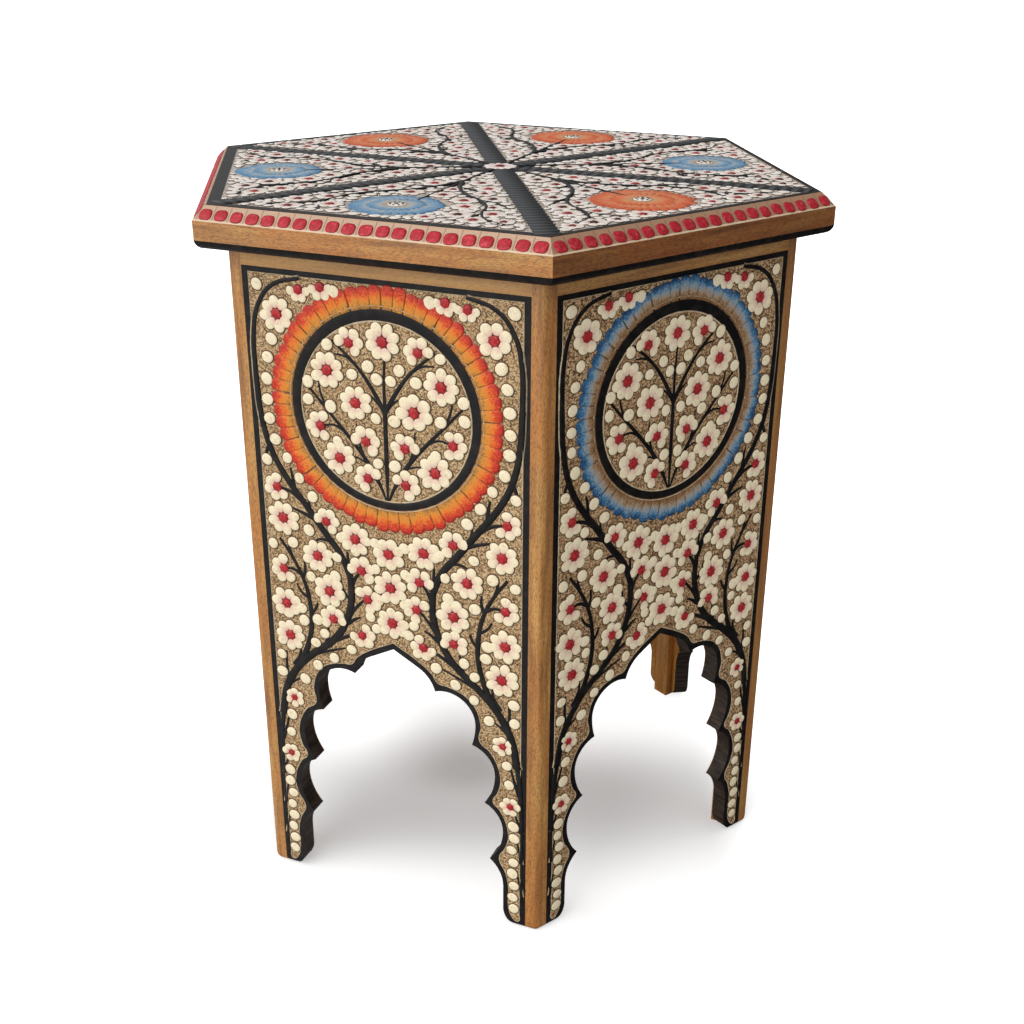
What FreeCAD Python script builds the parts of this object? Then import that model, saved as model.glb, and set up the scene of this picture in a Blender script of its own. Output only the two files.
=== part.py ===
import FreeCAD, Part
import math
import os
import re
import Sketcher

# A hexagonal stool: six corner posts, six arched side panels and six top rails under a plank seat
# with a mitred lipping. The floor is z = 0, the axis of the stool is Z, the corners lie on +X and
# every 60 degrees from it, and the first side faces -Y. All sizes are in millimetres.

SIDES = 6
TURN = 360 / SIDES
FRONT = -90
PLANKS = 3
DOWELS_PER_JOINT = 3

SIZES = {
    # Seat
    "seat_height": 460.0,
    "seat_thickness": 24.2,
    "seat_overhang": 18.0,
    "lipping_width": 22.0,
    "rim_chamfer_run": 7.8,
    "rim_chamfer_rise": 7.8,
    "rim_round": 5.9,
    # Body, posts and rails
    "body_flats": 340.0,
    "post_face": 8.0,
    "post_depth": 24.0,
    "post_round": 4.5,
    "foot_ease": 5.0,
    "rail_lip": 10.6,
    "rail_height": 24.0,
    "rail_back": 16.0,
    # Side panels: the leg, then each cusp and lobe of the arch from the floor up
    "panel_thickness": 12.0,
    "leg_width": 15.6,
    "foot_run": 13.5,
    "foot_rise": 13.0,
    "leg_rise": 18.0,
    "cusp4_reach": 9.5,
    "cusp4_rise": 19.3,
    "lobe3_depth": 9.2,
    "lobe3_rise": 23.7,
    "cusp3_reach": 13.0,
    "cusp3_rise": 19.0,
    "lobe2_depth": 7.2,
    "lobe2_rise": 22.0,
    "cusp2_reach": 21.5,
    "cusp2_rise": 19.3,
    "lobe1_depth": 2.5,
    "lobe1_rise": 14.7,
    "crown_half": 28.2,
    "crown_rise": 18.3,
    "shoulder_step": 11.2,
    "shoulder_rise": 14.5,
    "apex_rise": 9.2,
    # Dowels and screws
    "dowel_diameter": 7.0,
    "dowel_length": 32.0,
    "dowel_clearance": 0.1,
    "dowel_end_gap": 0.8,
    "plank_dowel_spacing": 110.0,
    "post_dowel_inset": 15.0,
    "screw_shank": 4.5,
    "screw_head": 8.5,
    "screw_head_rise": 3.0,
    "screw_tip": 5.0,
    "screw_length": 40.0,
    "screw_spacing": 90.0,
    "screw_clearance": 0.1,
}

DERIVED = {
    "seat_underside": "seat_height - seat_thickness",
    "seat_apothem": "body_apothem + seat_overhang",
    "core_apothem": "seat_apothem - lipping_width",
    "core_corner": "core_apothem / cos(30 deg)",
    "plank_width": f"2 * core_apothem / {PLANKS}",
    "body_apothem": "body_flats / 2",
    "body_corner": "body_apothem / cos(30 deg)",
    "panel_half": "body_apothem * tan(30 deg) - post_face",
    "panel_top": "seat_underside - rail_lip",
    "rail_foot": "seat_underside - rail_height",
    "rail_depth": "panel_thickness + rail_back",
    "screw_apothem": "body_apothem - panel_thickness - rail_back / 2",
    "screw_bite": "screw_length - rail_height",
    "dowel_bore": "dowel_diameter / 2 + dowel_clearance",
    "leg_x": "panel_half - leg_width",
    "leg_z": "foot_rise + leg_rise",
    "cusp4_x": "leg_x - cusp4_reach",
    "cusp4_z": "leg_z + cusp4_rise",
    "lobe3_x": "cusp4_x + lobe3_depth",
    "lobe3_z": "cusp4_z + lobe3_rise",
    "cusp3_x": "leg_x - cusp3_reach",
    "cusp3_z": "lobe3_z + cusp3_rise",
    "lobe2_x": "cusp3_x + lobe2_depth",
    "lobe2_z": "cusp3_z + lobe2_rise",
    "cusp2_x": "leg_x - cusp2_reach",
    "cusp2_z": "lobe2_z + cusp2_rise",
    "lobe1_x": "cusp2_x + lobe1_depth",
    "lobe1_z": "cusp2_z + lobe1_rise",
    "crown_z": "lobe1_z + crown_rise",
    "shoulder_x": "crown_half - shoulder_step",
    "shoulder_z": "crown_z + shoulder_rise",
    "apex_z": "shoulder_z + apex_rise",
}

# How far a cut runs past the face that it opens
OVERCUT = 5

doc = FreeCAD.newDocument("HexagonalStool")
sheet = doc.addObject("Spreadsheet::Sheet", "Dims")
for row, (name, size) in enumerate(SIZES.items(), start=1):
    sheet.set(f"A{row}", str(size))
    sheet.setAlias(f"A{row}", name)
doc.recompute()


def formula(text):
    """Turns the names of sizes in a formula into references to the sheet."""
    def reference(match):
        word = match.group(0)
        if word in DERIVED:
            return f"({formula(DERIVED[word])})"
        return f"Dims.{word}" if word in SIZES else word
    return re.sub(r"[A-Za-z_]\w*", reference, text)


def value(text):
    """The number that a formula gives for the sheet's present sizes."""
    return float(sheet.evalExpression(formula(text)))


def bind(item, **formulas):
    """Binds properties of a document object to formulas; a double underscore stands for a dot."""
    for path, text in formulas.items():
        item.setExpression(path.replace("__", "."), formula(text))


def place(item, label, turn):
    """Names a finished piece and turns it about the stool's axis to its own side or corner."""
    item.Label = label
    item.Placement = FreeCAD.Placement(FreeCAD.Vector(), FreeCAD.Rotation(FreeCAD.Vector(0, 0, 1), turn))
    return item


def new_body(name):
    return doc.addObject("PartDesign::Body", name)


def origin_feature(body, role):
    return next(feature for feature in body.Origin.OriginFeatures if feature.Role == role)


def new_sketch(body, name, plane, **offsets):
    """A sketch on one of the body's own origin planes; offsets are formulas for x, y and z."""
    sketch = body.newObject("Sketcher::SketchObject", name)
    sketch.AttachmentSupport = [(origin_feature(body, plane), "")]
    sketch.MapMode = "FlatFace"
    bind(sketch, **{f"AttachmentOffset__Base__{axis}": text for axis, text in offsets.items()})
    return sketch


def level_centre(near, far):
    """Centre of the arc through both points that is level with the near one."""
    run = far.x - near.x
    rise = far.y - near.y
    return FreeCAD.Vector(near.x + (run * run + rise * rise) / (2 * run), near.y, 0)


def smooth_centre(start, end, after):
    """Centre of the arc from start to end that runs on smoothly into the line to after."""
    along = after - end
    across = FreeCAD.Vector(-along.y, along.x, 0).normalize()
    chord = start - end
    return end + across * (chord.Length ** 2 / (2 * chord.dot(across)))


def arc_about(centre, start, end):
    """The shorter arc between two points, and whether it is stored from end to start."""
    first = math.atan2(start.y - centre.y, start.x - centre.x)
    second = math.atan2(end.y - centre.y, end.x - centre.x)
    sweep = (second - first) % (2 * math.pi)
    backward = sweep > math.pi
    if backward:
        first, second = second, first
    circle = Part.Circle(centre, FreeCAD.Vector(0, 0, 1), (start - centre).Length)
    return Part.ArcOfCircle(circle, first, second), backward


def draw(sketch, corners, arcs=None):
    """Closes an outline through corners, each a pair of formulas.

    An edge is a straight line unless arcs gives it a kind: "start" or "end" for an arc whose centre
    is level with that end, or "smooth" for an arc that runs on smoothly into the next edge.
    """
    arcs = arcs or {}
    count = len(corners)
    points = [FreeCAD.Vector(value(across), value(up), 0) for across, up in corners]
    ends = []
    for edge in range(count):
        start = points[edge]
        end = points[(edge + 1) % count]
        kind = arcs.get(edge)
        if kind is None:
            ends.append((sketch.addGeometry(Part.LineSegment(start, end)), 1, 2))
            continue
        if kind == "start":
            centre = level_centre(start, end)
        elif kind == "end":
            centre = level_centre(end, start)
        else:
            centre = smooth_centre(start, end, points[(edge + 2) % count])
        arc, backward = arc_about(centre, start, end)
        shape = sketch.addGeometry(arc)
        ends.append((shape, 2, 1) if backward else (shape, 1, 2))

    for edge in range(count):
        shape, first, last = ends[edge]
        following, next_first, _ = ends[(edge + 1) % count]
        joint = "Tangent" if arcs.get(edge) == "smooth" else "Coincident"
        sketch.addConstraint(Sketcher.Constraint(joint, shape, last, following, next_first))
        if arcs.get(edge) in ("start", "end"):
            level_end = first if arcs[edge] == "start" else last
            sketch.addConstraint(Sketcher.Constraint("Horizontal", shape, 3, shape, level_end))
    for edge, (across, up) in enumerate(corners):
        shape, first, _ = ends[edge]
        for kind, text in (("DistanceX", across), ("DistanceY", up)):
            number = sketch.addConstraint(Sketcher.Constraint(kind, -1, 1, shape, first, value(text)))
            sketch.setExpression(f"Constraints[{number}]", formula(text))
    return sketch


def draw_circle(sketch, across, up, radius):
    """A circle with its centre and radius bound to formulas."""
    centre = FreeCAD.Vector(value(across), value(up), 0)
    shape = sketch.addGeometry(Part.Circle(centre, FreeCAD.Vector(0, 0, 1), value(radius)))
    for kind, text in (("DistanceX", across), ("DistanceY", up)):
        number = sketch.addConstraint(Sketcher.Constraint(kind, -1, 1, shape, 3, value(text)))
        sketch.setExpression(f"Constraints[{number}]", formula(text))
    number = sketch.addConstraint(Sketcher.Constraint("Radius", shape, value(radius)))
    sketch.setExpression(f"Constraints[{number}]", formula(radius))
    return sketch


def add_pad(body, name, sketch, length, reverse=False, midplane=False):
    pad = body.newObject("PartDesign::Pad", name)
    pad.Profile = sketch
    pad.Reversed = reverse
    pad.Midplane = midplane
    bind(pad, Length=length)
    return pad


def add_pocket(body, name, sketch, length=None, reverse=False, midplane=False):
    """A pocket of a given depth, or right through the body when no depth is given."""
    pocket = body.newObject("PartDesign::Pocket", name)
    pocket.Profile = sketch
    pocket.Reversed = reverse
    pocket.Midplane = midplane
    if length is None:
        pocket.Type = "ThroughAll"
    else:
        bind(pocket, Length=length)
    return pocket


def add_mirror(body, name, features):
    """Repeats features on the other side of the body's own YZ plane."""
    mirror = body.newObject("PartDesign::Mirrored", name)
    mirror.Originals = features
    mirror.MirrorPlane = (origin_feature(body, "YZ_Plane"), [""])
    body.Tip = mirror
    return mirror


def edges_where(feature, test):
    """Names of a feature's edges whose middle passes a test."""
    doc.recompute()
    edges = feature.Shape.Edges
    return [f"Edge{number}" for number, edge in enumerate(edges, start=1) if test(edge)]


def corner_post(number):
    """A straight bar with its outside planed to the two body faces that meet at the corner."""
    body = new_body("CornerPost")
    half = "post_face * cos(30 deg)"
    face_end = "body_corner - post_face / 2"
    inside = "body_corner - post_depth"
    section = draw(new_sketch(body, "PostSection", "XY_Plane"), [
        ("body_corner", "0"),
        (face_end, half),
        (inside, half),
        (inside, f"-({half})"),
        (face_end, f"-({half})"),
    ])
    bar = add_pad(body, "PostBar", section, "seat_underside")

    outside = value(face_end)
    toe = edges_where(bar, lambda edge: edge.BoundBox.ZMax < 0.01 and edge.CenterOfMass.x > outside)
    eased = body.newObject("PartDesign::Fillet", "FootEase")
    eased.Base = (bar, toe)
    bind(eased, Radius="foot_ease")

    arris = edges_where(eased, lambda edge: max(abs(edge.BoundBox.YMin), abs(edge.BoundBox.YMax)) < 0.01)
    rounded = body.newObject("PartDesign::Fillet", "PostRound")
    rounded.Base = (eased, arris)
    bind(rounded, Radius="post_round")

    bore = new_sketch(body, "DowelCircle", "XY_Plane", z="seat_underside")
    draw_circle(bore, "body_corner - post_dowel_inset", "0", "dowel_bore")
    add_pocket(body, "DowelBore", bore, "dowel_length / 2 + dowel_end_gap")
    return place(body, f"corner_post_{number + 1}", TURN * (number - 1))


def arch_panel(number):
    """A board with bevelled edges between two posts, cut away below into a cusped arch."""
    body = new_body("ArchPanel")
    front = "-body_apothem"
    back = "panel_thickness - body_apothem"
    back_half = "panel_half - panel_thickness * tan(30 deg)"
    plan = draw(new_sketch(body, "PanelPlan", "XY_Plane"), [
        (f"-({back_half})", back),
        ("-panel_half", front),
        ("panel_half", front),
        (back_half, back),
    ])
    add_pad(body, "PanelBoard", plan, "panel_top")

    outline = new_sketch(body, "ArchOutline", "XZ_Plane", z="body_apothem")
    draw(outline, [
        ("0", f"-{OVERCUT}"),
        ("leg_x + foot_run", f"-{OVERCUT}"),
        ("leg_x + foot_run", "0"),
        ("leg_x", "foot_rise"),
        ("leg_x", "leg_z"),
        ("cusp4_x", "cusp4_z"),
        ("lobe3_x", "lobe3_z"),
        ("cusp3_x", "cusp3_z"),
        ("lobe2_x", "lobe2_z"),
        ("cusp2_x", "cusp2_z"),
        ("lobe1_x", "lobe1_z"),
        ("crown_half", "crown_z"),
        ("shoulder_x", "shoulder_z"),
        ("0", "apex_z"),
    ], {2: "end", 4: "start", 5: "end", 6: "start", 7: "end", 8: "start", 9: "end", 10: "start",
        11: "smooth"})
    half_arch = add_pocket(body, "HalfArch", outline)
    add_mirror(body, "WholeArch", [half_arch])

    for name, face, inwards in (("Toe", front, 1), ("Heel", back, -1)):
        profile = draw(new_sketch(body, f"{name}Profile", "YZ_Plane"), [
            (f"{face} - {inwards * OVERCUT}", f"-{OVERCUT}"),
            (f"{face} + {inwards} * foot_ease", f"-{OVERCUT}"),
            (f"{face} + {inwards} * foot_ease", "0"),
            (face, "foot_ease"),
            (f"{face} - {inwards * OVERCUT}", "foot_ease"),
        ], {2: "end"})
        body.Tip = add_pocket(body, f"{name}Ease", profile, "4 * panel_half", midplane=True)
    return place(body, f"arch_panel_{number + 1}", TURN * number)


def screw_sketch(body, name, side):
    """A sketch through one screw of the front rail, with that screw's axis as its own upright axis."""
    return new_sketch(body, name, "XZ_Plane", x=f"{side} * screw_spacing / 2", z="screw_apothem")


def top_rail(number):
    """A rail between two posts: a lip over the panel and a deeper back that carries the seat."""
    body = new_body("TopRail")
    front = "-body_apothem"
    middle = f"{front} + panel_thickness"
    back = f"{front} + rail_depth"
    middle_half = "panel_half - panel_thickness * tan(30 deg)"
    back_half = "panel_half - rail_depth * tan(30 deg)"
    lip = draw(new_sketch(body, "LipPlan", "XY_Plane", z="panel_top"), [
        (f"-({middle_half})", middle),
        ("-panel_half", front),
        ("panel_half", front),
        (middle_half, middle),
    ])
    add_pad(body, "RailLip", lip, "rail_lip")
    seat_bearer = draw(new_sketch(body, "BackPlan", "XY_Plane", z="rail_foot"), [
        (f"-({back_half})", back),
        (f"-({middle_half})", middle),
        (middle_half, middle),
        (back_half, back),
    ])
    add_pad(body, "RailBack", seat_bearer, "rail_height")

    for side in (-1, 1):
        profile = draw(screw_sketch(body, "ScrewHoleProfile", side), [
            ("0", f"rail_foot - {OVERCUT}"),
            ("screw_head / 2 + screw_clearance", f"rail_foot - {OVERCUT}"),
            ("screw_head / 2 + screw_clearance", "rail_foot"),
            ("screw_shank / 2 + screw_clearance", "rail_foot + screw_head_rise"),
            ("screw_shank / 2 + screw_clearance", f"seat_underside + {OVERCUT}"),
            ("0", f"seat_underside + {OVERCUT}"),
        ])
        hole = body.newObject("PartDesign::Groove", "ScrewHole")
        hole.Profile = profile
        hole.ReferenceAxis = (profile, ["V_Axis"])
        hole.Angle = 360
    return place(body, f"top_rail_{number + 1}", TURN * number)


def seat_lipping(number):
    """A moulding along one edge of the seat, mitred to its neighbours at both ends."""
    body = new_body("SeatLipping")
    outside = "-seat_apothem"
    inside = "-core_apothem"
    profile = draw(new_sketch(body, "LippingProfile", "YZ_Plane"), [
        (inside, "seat_underside"),
        (inside, "seat_height"),
        (f"{outside} + rim_chamfer_run", "seat_height"),
        (outside, "seat_height - rim_chamfer_rise"),
        (outside, "seat_underside + rim_round"),
        (f"{outside} + rim_round", "seat_underside"),
    ], {4: "start"})
    add_pad(body, "LippingStrip", profile, "3 * seat_apothem", midplane=True)

    mitre = new_sketch(body, "MitreCut", "XY_Plane")
    draw(mitre, [
        ("core_apothem / 2 * tan(30 deg)", "-core_apothem / 2"),
        ("2 * seat_apothem * tan(30 deg)", "-2 * seat_apothem"),
        ("4 * seat_apothem", "-2 * seat_apothem"),
        ("4 * seat_apothem", "-core_apothem / 2"),
    ])
    end_cut = add_pocket(body, "MitreEnd", mitre, reverse=True)
    add_mirror(body, "BothMitres", [end_cut])
    return place(body, f"seat_lipping_{number + 1}", TURN * number)


def rod(name, radius, length, along_y=False, **position):
    """A plain cylinder whose centre of one end lies at the given formulas."""
    item = doc.addObject("Part::Cylinder", name)
    if along_y:
        item.Placement.Rotation = FreeCAD.Rotation(FreeCAD.Vector(1, 0, 0), -90)
    bind(item, Radius=radius, Height=length)
    bind(item, **{f"Placement__Base__{axis}": text for axis, text in position.items()})
    return item


def group(name, rods):
    item = doc.addObject("Part::Compound", name)
    item.Links = rods
    return item


def plank_dowel_rods(name, radius, length):
    """Rods across every joint between planks, at half the seat's thickness."""
    rods = []
    for joint in range(1, PLANKS):
        for step in range(DOWELS_PER_JOINT):
            rods.append(rod(
                name, radius, length, along_y=True,
                x=f"{step - (DOWELS_PER_JOINT - 1) / 2} * plank_dowel_spacing",
                y=f"{joint} * plank_width - core_apothem - ({length}) / 2",
                z="seat_height - seat_thickness / 2",
            ))
    return rods


def post_dowel_rods(name, radius, length, foot):
    """Upright rods at the six posts."""
    reach = "(body_corner - post_dowel_inset)"
    return [
        rod(name, radius, length, x=f"{reach} * cos({TURN * corner} deg)",
            y=f"{reach} * sin({TURN * corner} deg)", z=foot)
        for corner in range(SIDES)
    ]


def pilot_rods(name):
    """Upright rods where the screws bite into the seat."""
    rods = []
    for side in range(SIDES):
        angle = f"{FRONT + TURN * side} deg"
        for hand in (-1, 1):
            rods.append(rod(
                name, "screw_shank / 2 + screw_clearance", "screw_bite + dowel_end_gap",
                x=f"screw_apothem * cos({angle}) - {hand} * screw_spacing / 2 * sin({angle})",
                y=f"screw_apothem * sin({angle}) + {hand} * screw_spacing / 2 * cos({angle})",
                z="seat_underside",
            ))
    return rods


def seat_planks():
    """Planks that fill the lipping, side by side from front to back, bored for dowels and screws."""
    core = doc.addObject("Part::Prism", "SeatCore")
    core.Polygon = SIDES
    bind(core, Circumradius="core_corner", Height="seat_thickness", Placement__Base__z="seat_underside")
    bores = group("SeatBores", [
        *plank_dowel_rods("PlankDowelBore", "dowel_bore", "dowel_length + 2 * dowel_end_gap"),
        *post_dowel_rods("PostDowelBore", "dowel_bore", "dowel_length / 2 + dowel_end_gap",
                         "seat_underside"),
        *pilot_rods("ScrewPilot"),
    ])
    planks = []
    for number in range(PLANKS):
        strip = doc.addObject("Part::Box", "PlankStrip")
        bind(strip, Length="3 * core_corner", Width="plank_width", Height="3 * seat_thickness",
             Placement__Base__x="-1.5 * core_corner",
             Placement__Base__y=f"{number} * plank_width - core_apothem",
             Placement__Base__z="seat_underside - seat_thickness")
        board = doc.addObject("Part::Common", "PlankBoard")
        board.Base = core
        board.Tool = strip
        plank = doc.addObject("Part::Cut", "SeatPlank")
        plank.Base = board
        plank.Tool = bores
        planks.append(place(plank, f"seat_plank_{number + 1}", 0))
    return planks


def seat_screws():
    """Countersunk wood screws, two in every rail, with their heads flush under the rails."""
    body = new_body("SeatScrews")
    body.AllowCompound = True
    turned = []
    for side in (-1, 1):
        profile = draw(screw_sketch(body, "ScrewProfile", side), [
            ("0", "rail_foot"),
            ("screw_head / 2", "rail_foot"),
            ("screw_shank / 2", "rail_foot + screw_head_rise"),
            ("screw_shank / 2", "rail_foot + screw_length - screw_tip"),
            ("0", "rail_foot + screw_length"),
        ])
        screw = body.newObject("PartDesign::Revolution", "TurnedScrew")
        screw.Profile = profile
        screw.ReferenceAxis = (profile, ["V_Axis"])
        screw.Angle = 360
        turned.append(screw)
    ring = body.newObject("PartDesign::PolarPattern", "ScrewRing")
    ring.Originals = turned
    ring.Axis = (origin_feature(body, "Z_Axis"), [""])
    ring.Angle = 360
    ring.Occurrences = SIDES
    body.Tip = ring
    return place(body, "seat_screws", 0)


def dowels():
    """The dowels between the planks, and those that hold the posts in the seat."""
    between_planks = group("SeatDowels", plank_dowel_rods("PlankDowel", "dowel_diameter / 2", "dowel_length"))
    in_posts = group("PostDowels", post_dowel_rods("PostDowel", "dowel_diameter / 2", "dowel_length",
                                                   "seat_underside - dowel_length / 2"))
    return [place(between_planks, "seat_dowels", 0), place(in_posts, "post_dowels", 0)]


pieces = []
for number in range(SIDES):
    pieces.append(corner_post(number))
    pieces.append(arch_panel(number))
    pieces.append(top_rail(number))
    pieces.append(seat_lipping(number))
pieces += seat_planks()
pieces += dowels()
pieces.append(seat_screws())
doc.recompute()

for item in doc.Objects:
    if "Invalid" in item.State or "Error" in item.State:
        raise RuntimeError(f"{item.Label} did not build: {item.State}")
for piece in pieces:
    if piece.Shape.isNull() or not piece.Shape.isValid() or piece.Shape.Volume <= 0:
        raise RuntimeError(f"{piece.Label} has no sound solid")

os.makedirs("parts", exist_ok=True)
for piece in pieces:
    piece.Shape.exportStep(f"parts/{piece.Label}.step")
    print(f"{piece.Label}: {len(piece.Shape.Solids)} solid(s), {piece.Shape.Volume / 1000:.2f} cm3")
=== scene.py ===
# %% [markdown]
# # A painted hexagonal stool
# The stool is joined from bare posts, rails and a seat rim, and its six sides and its seat are painted
# with blossom on a speckled ground. The joinery comes from the CAD model, so this lesson starts by
# loading it as a fixed frame, and then adds the finishes and the paint, which stands a little proud of
# the wood just as thick paint does.

# %% Load the joinery
import bpy
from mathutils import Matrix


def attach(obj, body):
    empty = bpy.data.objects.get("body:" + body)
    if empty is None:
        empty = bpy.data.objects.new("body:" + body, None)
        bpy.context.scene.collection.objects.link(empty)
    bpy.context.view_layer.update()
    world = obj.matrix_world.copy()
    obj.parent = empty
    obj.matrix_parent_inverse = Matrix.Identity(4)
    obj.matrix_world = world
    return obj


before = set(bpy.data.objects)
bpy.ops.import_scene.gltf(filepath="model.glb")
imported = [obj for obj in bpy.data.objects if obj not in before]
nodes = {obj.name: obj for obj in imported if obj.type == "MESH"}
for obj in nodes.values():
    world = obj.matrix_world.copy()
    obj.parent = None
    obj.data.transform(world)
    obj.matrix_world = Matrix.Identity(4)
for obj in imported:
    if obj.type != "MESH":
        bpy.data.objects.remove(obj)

bpy.context.view_layer.update()

# %% [markdown]
# ## Camera
# The photograph looks down on one corner of the stool from about 24 degrees, with a lens a little
# longer than normal. The place, the turn and the lens were found by matching the corners of the seat
# and of the sides, so no shift is needed.

# %% Set up the camera
import math
from mathutils import Matrix
from mathutils import Vector

SENSOR_WIDTH = 36.0
LENS = 47.55
CAMERA_TURN = math.radians(22.359)
CAMERA_TILT = math.radians(23.992)
CAMERA_ROLL = math.radians(0.29)
CAMERA_PLACE = (0.34759, -0.8219, 0.61237)

camera_data = bpy.data.cameras.new("photo_camera")
camera_data.sensor_width = SENSOR_WIDTH
camera_data.lens = LENS
camera = bpy.data.objects.new("photo_camera", camera_data)
bpy.context.scene.collection.objects.link(camera)
turn_left = Matrix.Rotation(CAMERA_TURN, 4, "Z")
look_down = Matrix.Rotation(math.pi / 2 - CAMERA_TILT, 4, "X")
small_roll = Matrix.Rotation(CAMERA_ROLL, 4, "Z")
camera.matrix_world = Matrix.Translation(CAMERA_PLACE) @ turn_left @ look_down @ small_roll
bpy.context.scene.camera = camera
print("camera at", CAMERA_PLACE)

# %% [markdown]
# ## Helpers for the finishes
# Every finish is a small network of nodes that reads a point's place on the object. Adding a node,
# setting some of its inputs and linking others is always the same work, so a few helpers do it. They
# work on the finish that stands on the easel, which is the one that was started last. A colour is
# written as on a paint chart, from 0 to 255.

# %% Colours and nodes
def colour(red, green, blue):
    """The linear colour that a shader takes, from one of 0 to 255 as a paint chart gives it."""
    def linear(part):
        part = part / 255
        return part / 12.92 if part <= 0.04045 else ((part + 0.055) / 1.055) ** 2.4
    return (linear(red), linear(green), linear(blue), 1.0)


def grey(level):
    """A grey that sends back this share of the light."""
    return (level, level, level, 1.0)


easel = {}


def work_on(owner):
    """Puts a finish, or the sky, on the easel."""
    owner.use_nodes = True
    easel["nodes"] = owner.node_tree.nodes
    easel["links"] = owner.node_tree.links


def connect(socket, value):
    """Links another node's output to a socket, or sets the socket to a plain value."""
    if isinstance(value, bpy.types.NodeSocket):
        easel["links"].new(value, socket)
    else:
        socket.default_value = value


def give(socket_name, value):
    """Connects a value to one of the shader's inputs."""
    connect(easel["nodes"]["Principled BSDF"].inputs[socket_name], value)


def new_finish(name, roughness, gloss=0.45):
    """Starts a new material, with its shader's roughness and gloss set."""
    finish = bpy.data.materials.new(name)
    work_on(finish)
    give("Roughness", roughness)
    give("Specular IOR Level", gloss)
    return finish


def add_node(kind, *values, settings=None, **named):
    """Adds a node, with its inputs given in order or by name."""
    node = easel["nodes"].new("ShaderNode" + kind)
    for key, setting in (settings or {}).items():
        setattr(node, key, setting)
    for index, value in enumerate(values):
        connect(node.inputs[index], value)
    for key, value in named.items():
        connect(node.inputs[key], value)
    return node


# %% Sums, mixes and ramps
MIX_INPUTS = (0, 6, 7)
MIX_OUTPUT = 2


def reckon(operation, *values):
    """The output of a sum."""
    return add_node("Math", *values, settings={"operation": operation}).outputs[0]


def mix(share, under, over, blend="MIX"):
    """A colour that goes from under to over as share goes from 0 to 1."""
    node = add_node("Mix", settings={"data_type": "RGBA", "blend_type": blend})
    for index, value in zip(MIX_INPUTS, (share, under, over)):
        connect(node.inputs[index], value)
    return node.outputs[MIX_OUTPUT]


def ramp(share, *stops):
    """A colour read from a row of stops, each a place from 0 to 1 and a colour."""
    node = add_node("ValToRGB", share)
    stop_list = node.color_ramp.elements
    while len(stop_list) < len(stops):
        stop_list.new(0.5)
    for stop, (place, stop_colour) in zip(stop_list, stops):
        stop.position = place
        stop.color = stop_colour
    return node.outputs["Color"]


def fade(share, start, end):
    """A share that goes from 0 at start to 1 at end."""
    node = add_node("MapRange", share, start, end, settings={"interpolation_type": "SMOOTHSTEP"})
    return node.outputs[0]


# %% Places and speckles
def object_place():
    """A point's place on the object, in metres."""
    return add_node("TexCoord").outputs["Object"]


def stretched_place(turn, size):
    """A point's place turned about the upright axis and measured in steps of size."""
    node = add_node(
        "Mapping", settings={"vector_type": "TEXTURE"},
        Vector=object_place(), Rotation=(0, 0, turn), Scale=size,
    )
    return node.outputs[0]


def noise(place, scale, detail=2.0):
    """Soft random speckle."""
    return add_node("TexNoise", Vector=place, Scale=scale, Detail=detail).outputs["Fac"]


def mottled(scale, detail, *stops):
    """A colour that changes in small, soft patches."""
    return ramp(noise(object_place(), scale, detail), *stops)


def mottled_finish(name, roughness, gloss, scale, detail, *stops):
    """A new material in one mottled colour."""
    finish = new_finish(name, roughness, gloss)
    give("Base Color", mottled(scale, detail, *stops))
    return finish


def add_bump(height, strength, distance):
    """Raises the surface a little where height is large."""
    node = add_node("Bump", Strength=strength, Distance=distance, Height=height)
    give("Normal", node.outputs[0])


# %% Distances
def reach_along(place, direction):
    """How far a place lies in a direction."""
    node = add_node("VectorMath", place, direction, settings={"operation": "DOT_PRODUCT"})
    return node.outputs["Value"]


def half_flats():
    """How far a point is from the axis, measured square to the nearest side of the hexagon."""
    place = object_place()
    reaches = []
    for angle in (30, 90, 150):
        across = (math.cos(math.radians(angle)), math.sin(math.radians(angle)), 0)
        reaches.append(reckon("ABSOLUTE", reach_along(place, across)))
    return reckon("MAXIMUM", reckon("MAXIMUM", *reaches[:2]), reaches[2])


def height_of():
    """A point's height above the floor."""
    return add_node("SeparateXYZ", object_place()).outputs["Z"]


print("helpers ready")

# %% [markdown]
# ## Light
# The studio light is large and soft and comes from the left of the camera, so the left side of the
# stool is much brighter than the right one and has a faint sheen. A sun lamp with a wide angle gives
# that without fading over the floor. A white sky fills the shadows. Polished faces mirror it brighter
# on the left than on the right, because a studio is dark away from its lamps.

# %% Set the view and the sky
SKY_LIGHT = 0.57
LEFT_SHEEN = 0.6
RIGHT_SHEEN = 0.05
SHEEN_FADE = (-0.5, 0.6)
TO_THE_RIGHT = (math.cos(CAMERA_TURN), math.sin(CAMERA_TURN), 0)
WHITE = grey(1.0)

scene = bpy.context.scene
scene.view_settings.view_transform = "Standard"
sky = bpy.data.worlds.new("studio")
scene.world = sky
work_on(sky)
sky_rays = add_node("LightPath").outputs
seen = reckon("MAXIMUM", sky_rays["Is Camera Ray"], sky_rays["Is Transmission Ray"])
heading = add_node("TexCoord").outputs["Generated"]
right_share = fade(reach_along(heading, TO_THE_RIGHT), *SHEEN_FADE)
sheen = reckon("MULTIPLY_ADD", right_share, RIGHT_SHEEN - LEFT_SHEEN, LEFT_SHEEN)
less = reckon("SUBTRACT", sheen, SKY_LIGHT)
level = reckon("MULTIPLY_ADD", sky_rays["Is Glossy Ray"], less, SKY_LIGHT)
backdrop = easel["nodes"]["Background"]
connect(backdrop.inputs["Color"], WHITE)
connect(backdrop.inputs["Strength"], reckon("MAXIMUM", level, seen))
print("sky light", SKY_LIGHT)

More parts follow.
